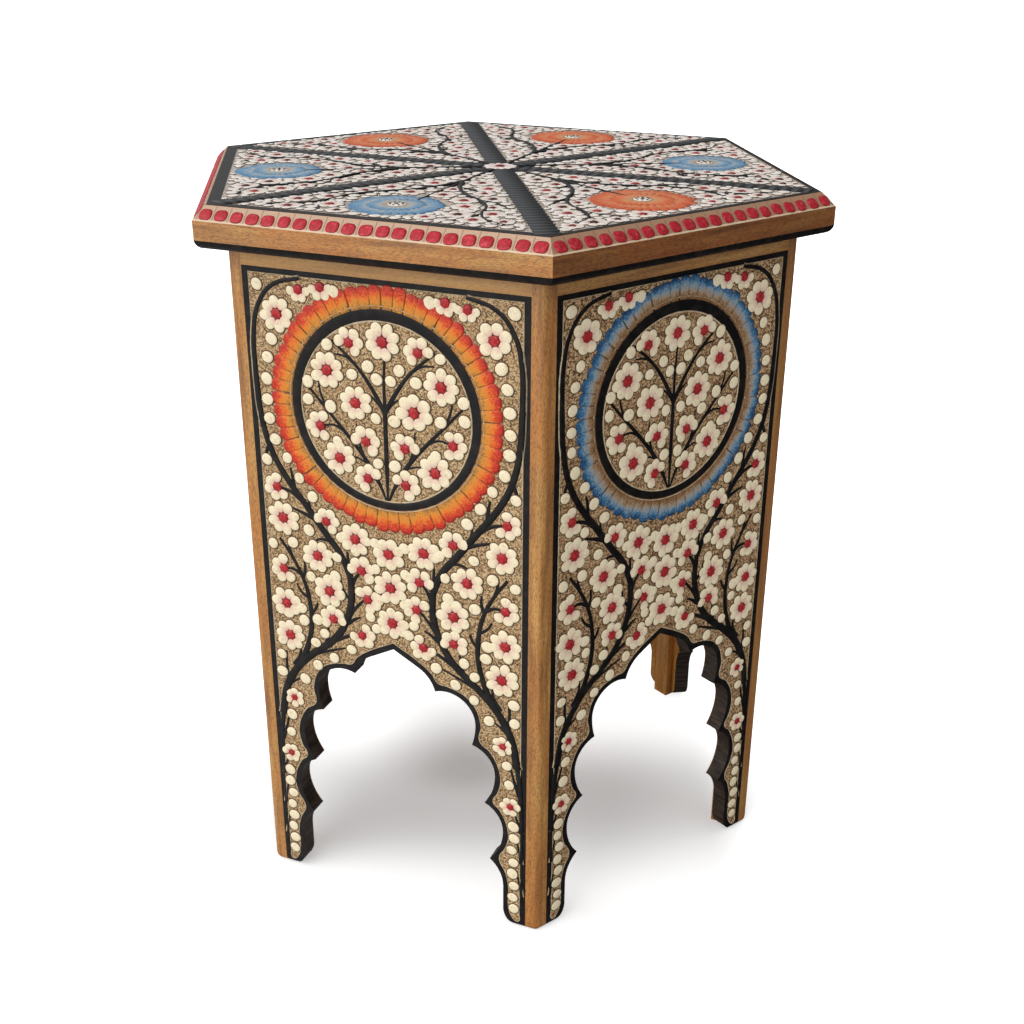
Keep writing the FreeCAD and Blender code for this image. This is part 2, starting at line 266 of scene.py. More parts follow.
# %% Hang the lamp
LAMP_ENERGY = 2.05
LAMP_SPREAD = math.radians(70)
TOWARDS_LAMP = Vector((-0.47, -0.75, 0.44))

lamp_data = bpy.data.lights.new("soft_lamp", "SUN")
lamp_data.energy = LAMP_ENERGY
lamp_data.angle = LAMP_SPREAD
lamp = bpy.data.objects.new("soft_lamp", lamp_data)
scene.collection.objects.link(lamp)
lamp.rotation_euler = TOWARDS_LAMP.to_track_quat("Z", "Y").to_euler()
print("lamp energy", LAMP_ENERGY)

# %% [markdown]
# ## Floor
# The floor of the studio is white paper. The camera sees it a little brighter than the light makes it,
# which keeps it white out to the horizon. Under the stool it is lifted least, and least of all in a
# small core, so a painted shadow lies there, darkest in that core. For glossy rays the floor is brighter
# on the left than on the right, a painted reflection that polished wood mirrors, as it does the sky.

# %% Measure the floor
TO_THE_BACK = (-math.sin(CAMERA_TURN), math.cos(CAMERA_TURN), 0)

floor_paper = new_finish("floor_paper", roughness=1.0, gloss=0.0)
floor_place = object_place()
to_side = reach_along(floor_place, TO_THE_RIGHT)
to_back = reach_along(floor_place, TO_THE_BACK)


def from_spot(side, back, half_width, half_depth):
    """How far a point of the floor is from the middle of an oval spot, as a share of the spot's size."""
    wide = reckon("DIVIDE", reckon("SUBTRACT", to_side, side), half_width)
    deep = reckon("DIVIDE", reckon("SUBTRACT", to_back, back), half_depth)
    return reckon("SQRT", reckon("MULTIPLY_ADD", wide, wide, reckon("MULTIPLY", deep, deep)))


from_painted_shadow = from_spot(side=0.0, back=-0.05, half_width=0.29, half_depth=0.105)
from_painted_core = from_spot(side=-0.03, back=0.035, half_width=0.09, half_depth=0.09)
print("floor measured from the stool's shadow")

# %% Lift the floor outside the shadow
SHADOW_LIFT = 0.10
OPEN_LIFT = 0.34
BACK_LIFT = 0.30
SIDE_LIFT = 0.30
PAINTED_CORE_LIFT = -0.34

# The lift is shaped round the stool into a painted shadow, and the core gets least of it.
in_the_open = fade(from_painted_shadow, 0.2, 1.1)
behind = fade(to_back, -0.03, 0.10)
beside = fade(reckon("ABSOLUTE", to_side), 0.15, 0.20)
in_painted_core = reckon("SUBTRACT", 1.0, fade(from_painted_core, 0.0, 1.0))
zones = ((in_the_open, OPEN_LIFT), (behind, BACK_LIFT), (beside, SIDE_LIFT), (in_painted_core, PAINTED_CORE_LIFT))
lift = SHADOW_LIFT
for share, more in zones:
    lift = reckon("MULTIPLY_ADD", share, more, lift)
lift = reckon("MAXIMUM", lift, 0.0)
print("floor lifted in", len(zones), "zones")

# %% Lay the floor
FLOOR_SIZE = 80.0
FLOOR_BOUNCE = grey(0.55)
FLOOR_LEFT = grey(0.7)
FLOOR_RIGHT = grey(0.06)

floor_rays = add_node("LightPath").outputs
# For glossy rays the floor is brighter on the left: a painted reflection that gives the stool's left side
# its sheen.
floor_painted_reflection = mix(fade(to_side, -0.2, 0.15), FLOOR_LEFT, FLOOR_RIGHT)
bounce = mix(floor_rays["Is Glossy Ray"], FLOOR_BOUNCE, floor_painted_reflection)
give("Base Color", mix(floor_rays["Is Camera Ray"], bounce, WHITE))
give("Emission Color", WHITE)
give("Emission Strength", reckon("MULTIPLY", floor_rays["Is Camera Ray"], lift))

bpy.ops.object.select_all(action="DESELECT")
bpy.ops.mesh.primitive_plane_add(size=FLOOR_SIZE, location=(0, 0, 0))
floor = bpy.context.object
floor.name = "floor"
floor.data.materials.append(floor_paper)
print("floor", FLOOR_SIZE, "m wide")

# %% [markdown]
# ## Bare wood
# The posts, the rails and the band round the seat are golden brown hardwood under a thin polish. Its
# grain runs along each piece, with short dark pores and broad, soft changes of tone. Stretching a noise
# along the grain gives both. The turn changes from piece to piece. Two posts are mixed darker, a painted
# shade, and the rails of every other side paler, a painted light that takes out the shadow under the seat.

# %% The colour of bare wood
WOOD_DARK = colour(146, 94, 42)
WOOD_MIDDLE = colour(188, 130, 62)
WOOD_PALE = colour(214, 162, 86)
WOOD_WARM = colour(198, 122, 46)
WOOD_PORE = colour(92, 52, 20)
WOOD_ROUGHNESS = 0.42
STREAK = (0.004, 0.06)
WARM_PATCH = (0.02, 0.05)
PORE = (0.0006, 0.0022)


def wood_colour(turn, upright):
    """Streaks, warm patches and fine pores that run along the wood, and a bump for the pores."""
    def grain(across, along):
        size = (across, across, along) if upright else (along, across, across)
        return noise(stretched_place(turn, size), 1.0, 3.0)

    tone = ramp(grain(*STREAK), (0.30, WOOD_DARK), (0.50, WOOD_MIDDLE), (0.70, WOOD_PALE))
    warmth = fade(grain(*WARM_PATCH), 0.42, 0.68)
    tone = mix(reckon("MULTIPLY", warmth, 0.6), tone, WOOD_WARM)
    pores = fade(grain(*PORE), 0.42, 0.72)
    add_bump(reckon("SUBTRACT", 1.0, pores), strength=0.2, distance=0.0003)
    return mix(reckon("MULTIPLY", pores, 0.6), tone, WOOD_PORE)


def wood_finish(name, turn, upright, paler=0.0, darker=0.0):
    """Polished bare wood with its grain upright, or level and turned."""
    finish = new_finish(name, WOOD_ROUGHNESS, gloss=0.9)
    tone = mix(paler, wood_colour(turn, upright), WOOD_PALE)
    give("Base Color", mix(darker, tone, WOOD_DARK))
    return finish


# %% Posts, rails, dowels and screws
SIDES = range(1, 7)
# The rails of every other side are mixed paler: painted light where the seat's edge shades them.
RAIL_PAINTED_LIGHT = (0.1, 0.4)
# Two posts are mixed darker: painted shade.
SHADED_POSTS = (2, 4)
POST_PAINTED_SHADE = 0.5


def side_angle(side):
    """The direction that a side faces, in radians; side 1 faces the front."""
    return math.radians(-90 + 60 * (side - 1))


def grain_turn(side):
    """The turn that lays level grain along a side."""
    return side_angle(side) + math.pi / 2


def dress(node_name, finish):
    """Gives a piece of the joinery its finish."""
    nodes[node_name].data.materials.clear()
    nodes[node_name].data.materials.append(finish)


upright_wood = wood_finish("upright_wood", 0.0, upright=True)
shaded_upright_wood = wood_finish("shaded_upright_wood", 0.0, upright=True, darker=POST_PAINTED_SHADE)
for side in SIDES:
    dress(f"corner_post_{side}", shaded_upright_wood if side in SHADED_POSTS else upright_wood)
    paler = RAIL_PAINTED_LIGHT[side % 2]
    dress(f"top_rail_{side}", wood_finish(f"level_wood_{side}", grain_turn(side), False, paler))
dress("seat_dowels", wood_finish("dowel_wood", 0.0, upright=False))
dress("post_dowels", upright_wood)
steel = mottled_finish(
    "screw_steel", 0.3, 0.45, 900.0, 2.0, (0.3, colour(120, 118, 112)), (0.7, colour(178, 176, 170)),
)
give("Metallic", 1.0)
dress("seat_screws", steel)
print("bare wood on posts and rails")

# %% [markdown]
# ## Side panels
# Each panel is painted black on its face, and a browner, worn black on the cut edges of its arch. What
# stays black at the end is the line all round the painted field. Inside the stool the wood is bare. The
# face lies 170 mm from the axis and the back 158 mm, so the distance from the axis tells the zones apart
# on all six panels.

# %% Black paint and the panels
PANEL_BACK = 0.1585
PANEL_FACE = 0.1697
EDGE_BLACK = colour(42, 35, 31)
EDGE_WORN = colour(82, 68, 58)
EDGE_STREAK = (0.02, 0.02, 0.002)
BLACK_PAINT = colour(20, 18, 18)
BLACK_WORN = colour(40, 35, 32)
BLACK_ROUGHNESS = 0.45
BLACK_GLOSS = 0.28


def black_colour():
    """Black paint with faint worn patches."""
    return mottled(160.0, 6.0, (0.45, BLACK_PAINT), (0.75, BLACK_WORN))


panel_black = new_finish("panel_black", BLACK_ROUGHNESS, BLACK_GLOSS)
panel_reach = half_flats()
painted_share = reckon("GREATER_THAN", panel_reach, PANEL_BACK)
face_share = reckon("GREATER_THAN", panel_reach, PANEL_FACE)
edge_wear = noise(stretched_place(0.0, EDGE_STREAK), 1.0, 4.0)
cut_edge = ramp(edge_wear, (0.4, EDGE_BLACK), (0.7, EDGE_WORN))
paint = mix(face_share, cut_edge, black_colour())
inside_wood = wood_colour(0.0, upright=True)
give("Base Color", mix(painted_share, inside_wood, paint))
for side in SIDES:
    dress(f"arch_panel_{side}", panel_black)
print("panels painted black")

# %% [markdown]
# ## Seat boards and rim
# The ground under the painted blossom is a fine speckle of beige and brown, as if stippled. It covers
# the top of the boards and the inner edge of the rim. Outside it the rim has a plain beige strip, a
# sloping beige band ruled into small squares for the red dots, a band of bare wood and a black
# underside. Heights and distances from the axis separate these zones.

# %% Speckled ground
WARM_GROUND = (colour(66, 44, 24), colour(174, 136, 90), colour(238, 208, 160))
COOL_GROUND = (colour(56, 36, 20), colour(162, 120, 76), colour(230, 194, 146))
SEAT_GROUND = (colour(108, 90, 78), colour(206, 190, 174), colour(246, 238, 226))
GRAINS_PER_METRE = 1150.0
PATCHES_PER_METRE = 70.0


def ground_colour(dark, middle, pale):
    """A stipple of small pale and dark grains, with soft patches of tone."""
    place = object_place()
    grains = add_node("TexVoronoi", Vector=place, Scale=GRAINS_PER_METRE)
    tone = ramp(grains.outputs["Color"], (0.16, dark), (0.46, middle), (0.72, pale))
    gaps = fade(grains.outputs["Distance"], 0.35, 0.75)
    patch = reckon("MULTIPLY", noise(place, PATCHES_PER_METRE, 3.0), 0.25)
    shaded = mix(reckon("MULTIPLY", gaps, 0.4), tone, dark)
    add_bump(reckon("SUBTRACT", 1.0, gaps), strength=0.3, distance=0.0004)
    return mix(patch, shaded, middle)


# %% Seat boards
SEAT_TOP = 0.460
TOP_SKIN = SEAT_TOP - 0.0002

seat_boards = new_finish("seat_boards", roughness=0.55)
on_top = reckon("GREATER_THAN", height_of(), TOP_SKIN)
under_wood = wood_colour(0.0, upright=False)
seat_ground = ground_colour(*SEAT_GROUND)
give("Base Color", mix(on_top, under_wood, seat_ground))
for plank in (1, 2, 3):
    dress(f"seat_plank_{plank}", seat_boards)
print("seat boards painted")

# %% Seat rim
DOT_STEP = 0.0101
LINE_HALF = 0.04
SLOPE_FOOT = 0.4523
PALE_LINE_TOP = 0.4531
BLACK_TOP = 0.4411
GROUND_REACH = 0.1757
# The beige of the rim, darker on the even sides: painted shade.
RIM_GROUND_LIT_AND_SHADED = (colour(182, 140, 108), colour(200, 164, 134))
# The first tint darkens the rim's wood on the even sides: painted shade.
RIM_PAINTED_SHADE = ((0.58, 0.46, 0.36, 1.0), WHITE)
RIM_LINE = colour(148, 108, 94)
RIM_PALE = colour(228, 200, 168)
RIM_GLOSS = 0.8
UNDERSIDE_GLOSS = 0.15


def ruled_colour(turn, ground):
    """The beige of the sloping band, with a thin line between two dots."""
    steps = stretched_place(turn, (DOT_STEP, DOT_STEP, DOT_STEP))
    along = add_node("SeparateXYZ", steps).outputs["X"]
    from_line = reckon("SUBTRACT", reckon("FRACT", along), 0.5)
    line_share = reckon("LESS_THAN", reckon("ABSOLUTE", from_line), LINE_HALF)
    return mix(reckon("MULTIPLY", line_share, 0.7), ground, RIM_LINE)


def rim_finish(side):
    """The zones of the rim, from the bare band up to the painted top, and then the black underside."""
    finish = new_finish(f"rim_{side}", WOOD_ROUGHNESS)
    turn = grain_turn(side)
    # The even sides take the darker beige, a painted shade.
    beige = RIM_GROUND_LIT_AND_SHADED[side % 2]
    height = height_of()

    def above(level):
        return reckon("GREATER_THAN", height, level)

    def below(level):
        return reckon("LESS_THAN", height, level)

    # On every other side the wood is multiplied darker: painted shade.
    wood = mix(1.0, wood_colour(turn, False), RIM_PAINTED_SHADE[side % 2], "MULTIPLY")
    ruled = mix(below(PALE_LINE_TOP), ruled_colour(turn, beige), RIM_PALE)
    tone = mix(above(SLOPE_FOOT), wood, ruled)
    tone = mix(above(TOP_SKIN), tone, beige)
    inner_share = reckon("LESS_THAN", half_flats(), GROUND_REACH)
    ground_share = reckon("MULTIPLY", above(TOP_SKIN), inner_share)
    tone = mix(ground_share, tone, ground_colour(*SEAT_GROUND))
    underside = below(BLACK_TOP)
    give("Base Color", mix(underside, tone, black_colour()))
    gloss = reckon("MULTIPLY_ADD", underside, UNDERSIDE_GLOSS - RIM_GLOSS, RIM_GLOSS)
    give("Specular IOR Level", gloss)
    return finish


for side in SIDES:
    dress(f"seat_lipping_{side}", rim_finish(side))
print("rim painted")

# %% [markdown]
# ## A drawing board
# The blossom is drawn flat, as on a drawing board, in millimetres: x runs to the right, y runs up, and z
# is how far the paint stands proud. Each drawing is then stood against a side of the stool, or laid on
# a sector of its seat. Single dabs of paint are modelled once and stamped wherever they are needed.

# %% Picking, scaling and marking points
import bmesh

MM = 0.001


def start_piece(name):
    """Names the primitive that was just added and opens it for editing, with all of it selected."""
    bpy.context.object.name = name
    bpy.ops.object.mode_set(mode="EDIT")
    bpy.ops.mesh.select_mode(type="VERT")
    bpy.ops.mesh.select_all(action="SELECT")


def pick(test):
    """Selects the points whose place passes the test."""
    shape = bmesh.from_edit_mesh(bpy.context.object.data)
    for point in shape.verts:
        point.select_set(test(point.co))
    shape.select_flush(True)
    bmesh.update_edit_mesh(bpy.context.object.data)


def scale_by(x, y, z):
    """Scales the selected points about the origin."""
    bpy.ops.transform.resize(value=(x, y, z), center_override=(0, 0, 0))


def close_piece():
    """Closes the underside, turns the faces outwards and leaves edit mode."""
    bpy.ops.mesh.select_all(action="DESELECT")
    bpy.ops.mesh.select_non_manifold()
    bpy.ops.mesh.edge_face_add()
    bpy.ops.mesh.select_all(action="SELECT")
    bpy.ops.mesh.normals_make_consistent(inside=False)
    bpy.ops.object.mode_set(mode="OBJECT")
    bpy.ops.object.shade_smooth()
    return bpy.context.object


def note(piece, name, measure):
    """Stores a number at every point, for the finish to read."""
    marks = piece.data.attributes.new(name, "FLOAT", "POINT")
    for point in piece.data.vertices:
        marks.data[point.index].value = measure(point.co)


# %% [markdown]
# ## Dabs of paint
# A petal is one thick dab of cream paint, and the heart of a flower is a round red dab. Both start as a
# disc that is raised and domed. The petal is then drawn narrower at its foot and fuller at its tip. A
# number stored at each point, which is 1 on the rim, lets the finish darken the rim.

# %% A round dab
DAB_SINK = 0.4
DAB_POINT = 0.06
SHOULDER_LEVEL = 0.6
CROWN_LEVEL = 0.97


def raise_dab(shoulder, inset, crown):
    """Raises the selected face into a low dome that starts a little below the board."""
    bpy.ops.transform.translate(value=(0, 0, -DAB_SINK))
    bpy.ops.mesh.extrude_region_move(TRANSFORM_OT_translate={"value": (0, 0, DAB_SINK + shoulder)})
    bpy.ops.mesh.inset(thickness=inset)
    bpy.ops.transform.translate(value=(0, 0, crown - shoulder))
    bpy.ops.mesh.poke(offset=DAB_POINT)


def edge_share(place):
    """1 on the rim of a dab, 0 on its crown and half way between on its shoulder."""
    if place.z < SHOULDER_LEVEL:
        return 1.0
    return 0.0 if place.z > CROWN_LEVEL else 0.5


def round_dab(name):
    """A dab 1 across and 1 high."""
    bpy.ops.object.select_all(action="DESELECT")
    bpy.ops.mesh.primitive_circle_add(vertices=12, radius=0.5, fill_type="NGON")
    start_piece(name)
    raise_dab(shoulder=0.55, inset=0.13, crown=0.94)
    dab = close_piece()
    note(dab, "edge", edge_share)
    note(dab, "along", lambda place: 1.0)
    return dab


dot_dab = round_dab("dot_dab")
print("round dab with", len(dot_dab.data.polygons), "faces")


# %% A petal
def petal_dab(name, foot_width, tip_width):
    """A petal 1 long and about 1 wide with its foot on the origin."""
    bpy.ops.object.select_all(action="DESELECT")
    bpy.ops.mesh.primitive_circle_add(vertices=14, radius=0.5, fill_type="NGON", location=(0, 0.5, 0))
    bpy.ops.object.transform_apply(location=True)
    start_piece(name)
    raise_dab(shoulder=0.55, inset=0.13, crown=0.94)
    pick(lambda place: place.y < 0.32)
    scale_by(foot_width, 1, 1)
    pick(lambda place: place.y > 0.58)
    scale_by(tip_width, 1, 1)
    petal = close_piece()
    note(petal, "edge", edge_share)
    note(petal, "along", lambda place: place.y)
    return petal


flower_petal = petal_dab("flower_petal", foot_width=0.92, tip_width=1.12)
print("petal with", len(flower_petal.data.polygons), "faces")


# %% Stamp copies of a dab
def placing(x, y, angle, width, length, height):
    """Where a copy goes, in millimetres: its place, its turn and its size."""
    place = Matrix.Translation((x * MM, y * MM, 0))
    size = Matrix.Diagonal((width * MM, length * MM, height * MM, 1))
    return place @ Matrix.Rotation(angle, 4, "Z") @ size


def stamp(name, dab, placings):
    """Copies a dab to every place and joins the copies into one piece."""
    bpy.ops.object.select_all(action="DESELECT")
    for where in placings:
        copy = bpy.data.objects.new(name, dab.data)
        scene.collection.objects.link(copy)
        copy.matrix_world = where
        copy.select_set(True)
    copy.data = dab.data.copy()
    bpy.context.view_layer.objects.active = copy
    bpy.ops.object.join()
    bpy.ops.object.transform_apply(location=True, rotation=True, scale=True)
    bpy.context.object.name = name
    return bpy.context.object


# %% Stand a drawing against a side, or lay it on the seat
BODY_REACH = 0.170
UPWARDS = Vector((0, 0, 1))
ON_SEAT = Matrix.Translation((0, 0, SEAT_TOP))


def outwards_of(side):
    """The direction that a side faces."""
    return Vector((math.cos(side_angle(side)), math.sin(side_angle(side)), 0))


def board_matrix(side, upwards, outwards, middle):
    """Takes the board's x along a side, its y and z to two directions and its origin to a place."""
    columns = (UPWARDS.cross(outwards_of(side)), upwards, outwards, middle)
    return Matrix([[column[row] for column in columns] for row in range(3)] + [[0, 0, 0, 1]])


def side_matrix(side):
    """Takes the drawing board to a side of the stool."""
    return board_matrix(side, UPWARDS, outwards_of(side), outwards_of(side) * BODY_REACH)


def seat_matrix(side):
    """Takes the drawing board to a sector of the seat, its y away from the middle."""
    return ON_SEAT @ Matrix.Rotation(side_angle(side) - math.pi / 2, 4, "Z")


def set_on(drawing, name, matrix, finish):
    """Copies a drawing, takes the copy to its place and gives it its finish."""
    piece = bpy.data.objects.new(name, drawing.data.copy())
    scene.collection.objects.link(piece)
    piece.data.transform(matrix)
    piece.data.materials.clear()
    piece.data.materials.append(finish)
    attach(piece, "root")


def set_all(drawings, prefix, matrix, paints):
    """Takes a group of drawings to the same place, each in its paint."""
    for name, drawing in drawings.items():
        set_on(drawing, f"{prefix}_{name}", matrix, paints[name])


def clear_board(*drawings):
    """Takes drawings that have been copied off the board."""
    for drawing in drawings:
        bpy.data.objects.remove(drawing)


# %% [markdown]
# ## The paints
# The cream of the petals is a little uneven, turns pink towards the red heart and has a brown rim. The
# red is mottled. Stems are the same black as the lines. The stippled ground is a little paler on every
# other side.

# %% Cream for the sides and white for the seat
OUTLINE = colour(90, 62, 38)
BLUSH = colour(232, 184, 170)


def stored(name):
    """A number stored at the points of a piece."""
    return add_node("Attribute", settings={"attribute_name": name}).outputs["Fac"]


def petal_finish(name, pale, shade):
    """Pale paint, brushed unevenly and blushed towards the foot, with a thin outline."""
    finish = new_finish(name, roughness=0.42, gloss=0.6)
    place = object_place()
    brushed = fade(noise(place, 420.0, 3.0), 0.5, 0.75)
    veins = reckon("MULTIPLY", fade(noise(place, 1300.0), 0.45, 0.7), 0.7)
    tone = mix(reckon("MAXIMUM", brushed, veins), pale, shade)
    blush_share = reckon("SUBTRACT", 1.0, fade(stored("along"), 0.15, 0.6))
    tone = mix(reckon("MULTIPLY", blush_share, 0.6), tone, BLUSH)
    outline_share = fade(stored("edge"), 0.76, 0.98)
    give("Base Color", mix(outline_share, tone, OUTLINE))
    return finish


petal_cream = petal_finish("petal_cream", colour(255, 241, 206), colour(232, 208, 166))
petal_white = petal_finish("petal_white", colour(252, 246, 238), colour(230, 214, 202))
print("cream and white mixed")


# %% Red, black, brown and the ground
def red_finish(name, roughness, scale, detail, rim, rim_start, *stops):
    """Mottled red paint that darkens at the rim of each dab."""
    finish = new_finish(name, roughness)
    rim_share = fade(stored("edge"), rim_start, 1.0)
    give("Base Color", mix(rim_share, mottled(scale, detail, *stops), rim))
    return finish


def stippled_finish(name, ground):
    """The stippled ground of a side."""
    finish = new_finish(name, roughness=0.6)
    give("Base Color", ground_colour(*ground))
    return finish


heart_red = red_finish(
    "heart_red", 0.42, 700.0, 3.0, colour(120, 24, 26), 0.8,
    (0.35, colour(150, 18, 26)), (0.55, colour(184, 30, 36)), (0.75, colour(212, 76, 72)),
)
line_black = new_finish("line_black", BLACK_ROUGHNESS, BLACK_GLOSS)
give("Base Color", black_colour())
pale_line = mottled_finish(
    "pale_line", 0.55, 0.45, 300.0, 3.0, (0.3, colour(176, 150, 114)), (0.7, colour(222, 204, 172)),
)
outline_brown = mottled_finish(
    "outline_brown", 0.6, 0.2, 500.0, 2.0, (0.3, colour(72, 50, 30)), (0.7, colour(128, 96, 62)),
)
stippled_warm = stippled_finish("stippled_warm", WARM_GROUND)
stippled_cool = stippled_finish("stippled_cool", COOL_GROUND)
print("paints mixed")

# %% [markdown]
# ## The painted field of a side
# Inside its black line each side has a stippled field with the outline of the panel, drawn in by about
# 4 mm. A flat curve through a few points gives the outline, and a second, thin curve along the same
# points is the pale line that the painter leaves between the ground and the black.

# %% The outline of the field
FIELD_OUTLINE = [
    (0.0, 195.6), (18.6, 185.4), (26.0, 179.6), (30.6, 173.6), (37.0, 172.8), (52.4, 166.0), (59.4, 150.0),
    (58.4, 138.4), (66.0, 131.6), (72.6, 115.0), (70.8, 102.8), (67.4, 95.4), (72.4, 89.6), (78.1, 74.0),
    (76.6, 63.0), (71.8, 52.2), (76.0, 42.4), (78.4, 31.0), (78.5, 14.0), (80.4, 8.4), (83.6, 5.0),
    (85.5, 5.4), (85.9, 12.0),
]
FIELD_TOP = 421.7
FIELD_HALF = 85.9

left_half = [(-x, y) for x, y in reversed(FIELD_OUTLINE[1:])]
corners = [(FIELD_HALF, FIELD_TOP), (-FIELD_HALF, FIELD_TOP)]
whole_outline = FIELD_OUTLINE + corners + left_half
print("outline of", len(whole_outline), "points")


# %% Curves
def new_curve(name, dimensions, smoothness):
    """An empty curve."""
    curve = bpy.data.curves.new(name, "CURVE")
    curve.dimensions = dimensions
    curve.resolution_u = smoothness
    return curve


def add_spline(curve, points, is_corner):
    """Adds a spline through points in millimetres, sharp where is_corner says so and smooth elsewhere."""
    spline = curve.splines.new("BEZIER")
    spline.bezier_points.add(len(points) - 1)
    for knot, (x, y) in zip(spline.bezier_points, points):
        knot.co = (x * MM, y * MM, 0)
        handle = "VECTOR" if is_corner(x, y) else "AUTO"
        knot.handle_left_type = handle
        knot.handle_right_type = handle
    return spline


def curve_to_mesh(name, curve):
    """Turns a curve into a mesh piece on the board."""
    bpy.ops.object.select_all(action="DESELECT")
    drawing = bpy.data.objects.new(name, curve)
    scene.collection.objects.link(drawing)
    drawing.select_set(True)
    bpy.context.view_layer.objects.active = drawing
    bpy.ops.object.convert(target="MESH")
    return bpy.context.object


# %% The field and its pale line
FIELD_THICKNESS = 0.12
PALE_LINE_HALF = 0.32
OUTLINE_SMOOTHNESS = 6


def field_corner(x, y):
    """Whether a point of the outline is an upper corner or the crown of the arch."""
    return x == 0 or y == FIELD_TOP


field_curve = new_curve("field", "2D", OUTLINE_SMOOTHNESS)
field_curve.fill_mode = "BOTH"
field_curve.extrude = FIELD_THICKNESS * MM
add_spline(field_curve, whole_outline, field_corner).use_cyclic_u = True
field_drawing = curve_to_mesh("field_drawing", field_curve)

line_curve = new_curve("field_line", "3D", OUTLINE_SMOOTHNESS)
line_curve.bevel_depth = PALE_LINE_HALF * MM
line_curve.bevel_resolution = 0
add_spline(line_curve, whole_outline, field_corner).use_cyclic_u = True
field_line_drawing = curve_to_mesh("field_line_drawing", line_curve)
print("field", len(field_drawing.data.polygons), "faces")

# %% [markdown]
# ## Stems
# Black branches climb from the feet, follow the arch and curl up round the medallion, and a small tree
# stands inside the medallion. Each is one brush stroke that grows or thins from end to end, so each is a
# curve with a radius at every point, flattened until it is a thin layer of paint. A stroke is written as
# its half width at both ends and the points that it runs through. All but the line beside the post also
# have a pale edge, which is a wider, flatter stroke under the black one.

# %% Strokes on the right half of a side
SIDE_STROKES = [
    (0.7, 2.7, [(87.6, 18), (87.2, 60), (86.4, 95), (84, 124), (79, 147)]),
    (3.1, 2.7, [(84, 124), (79, 147), (69, 164), (56, 177), (42, 189), (33, 203), (28, 220), (28, 236)]),
    (2.8, 2.3, [(28, 236), (34, 250), (45, 264), (57, 280), (70, 297), (79, 314), (84, 335), (85.5, 360)]),
    (2.2, 1.5, [(85.5, 360), (85, 385), (80.5, 403), (70, 415.5), (52, 421)]),
    (2.8, 1.3, [(79, 147), (70, 163), (62, 179), (58, 195), (58, 211), (61, 226), (68, 241), (77, 254)]),
    (2.0, 1.05, [(42, 188), (31, 194), (23, 197)]),
    (2.0, 1.05, [(32, 205), (26, 214), (19, 222)]),
    (1.8, 0.95, [(31, 203), (26, 207), (22, 209)]),
    (2.0, 1.05, [(28.5, 226), (24.5, 236), (20.5, 241)]),
    (1.8, 1.05, [(30, 240), (29, 247), (29.5, 253)]),
    (2.0, 1.05, [(51, 271), (59, 274), (66, 276)]),
    (1.7, 1.05, [(52, 273), (54, 279), (54.5, 284)]),
    (2.0, 1.05, [(58, 281), (67, 287), (75, 289)]),
    (1.8, 1.05, [(64, 290), (65, 298), (66, 303)]),
    (1.7, 1.05, [(58, 204), (54, 209), (52.5, 213)]),
    (1.7, 0.95, [(62, 229), (60, 236), (60.5, 241)]),
    (1.8, 1.05, [(63, 231), (69, 234), (75, 233)]),
    (1.7, 1.05, [(69, 243), (70.5, 248), (70.5, 252)]),
    (1.8, 0.95, [(64, 172), (48, 179), (34, 184.5)]),
    (1.8, 1.05, [(73, 164), (68, 172), (67, 180)]),
    (1.7, 1.05, [(78, 152), (78.5, 164), (78, 173)]),
    (1.7, 0.95, [(82, 138), (76, 149), (68, 155)]),
    (1.7, 0.95, [(85, 104), (82, 114), (79, 125)]),
    (1.7, 0.95, [(86.5, 76), (84.5, 84), (81, 92)]),
    (1.6, 0.85, [(87, 52), (85.6, 62), (83, 71)]),
    (1.6, 0.85, [(87.4, 26), (86, 36), (83.4, 47)]),
    (1.8, 1.05, [(80, 316), (82.5, 309), (83.5, 303)]),
    (1.7, 0.95, [(49, 183), (46, 191), (45.5, 197)]),
    (1.7, 0.95, [(28.5, 219), (33.5, 226), (35, 232)]),
    (1.7, 0.95, [(40, 258), (46.5, 258.5), (51, 257)]),
    (1.6, 0.95, [(58.5, 215), (64, 219), (67, 224)]),
]

# %% Strokes of the tree in the medallion
TREE_TRUNK = [
    (1.0, 1.9, [(0, 289.5), (0, 304), (0, 318)]),
    (1.9, 1.7, [(0, 318), (0, 334), (0, 349)]),
    (1.6, 1.0, [(0, 349), (0, 366), (1, 382)]),
]
TREE_STROKES = [
    (2.0, 1.1, [(0, 347), (8, 361), (18, 374), (33, 387)]),
    (1.4, 0.8, [(18, 374), (24, 378), (32, 379)]),
    (1.4, 0.8, [(0, 347), (6, 354), (10, 357)]),
    (0.9, 2.0, [(0, 289.5), (4, 299.5), (8.5, 308)]),
    (2.0, 1.1, [(8.5, 308), (15, 318), (27, 332), (40, 346), (51, 358)]),
    (1.4, 0.8, [(15, 318), (18, 328), (19, 338)]),
    (1.4, 0.8, [(27, 332), (34, 335), (41, 334)]),
    (1.4, 0.8, [(38, 344), (42, 354), (43, 362)]),
    (1.2, 0.45, [(6, 304), (10, 305), (12, 304)]),
    (1.2, 0.45, [(12, 314), (22, 317), (28, 316)]),
]


def mirrored(strokes):
    """Strokes and their mirror images."""
    return strokes + [(start, end, [(-x, y) for x, y in line]) for start, end, line in strokes]


SIDE_STEMS = mirrored(SIDE_STROKES + TREE_STROKES) + TREE_TRUNK
EDGED_STEMS = mirrored(SIDE_STROKES[1:] + TREE_STROKES) + TREE_TRUNK
print(len(SIDE_STEMS), "strokes on a side")

# %% Brush the strokes
STROKE_SMOOTHNESS = 4
EDGE_AT_START = 0.5
EDGE_AT_END = 0.4


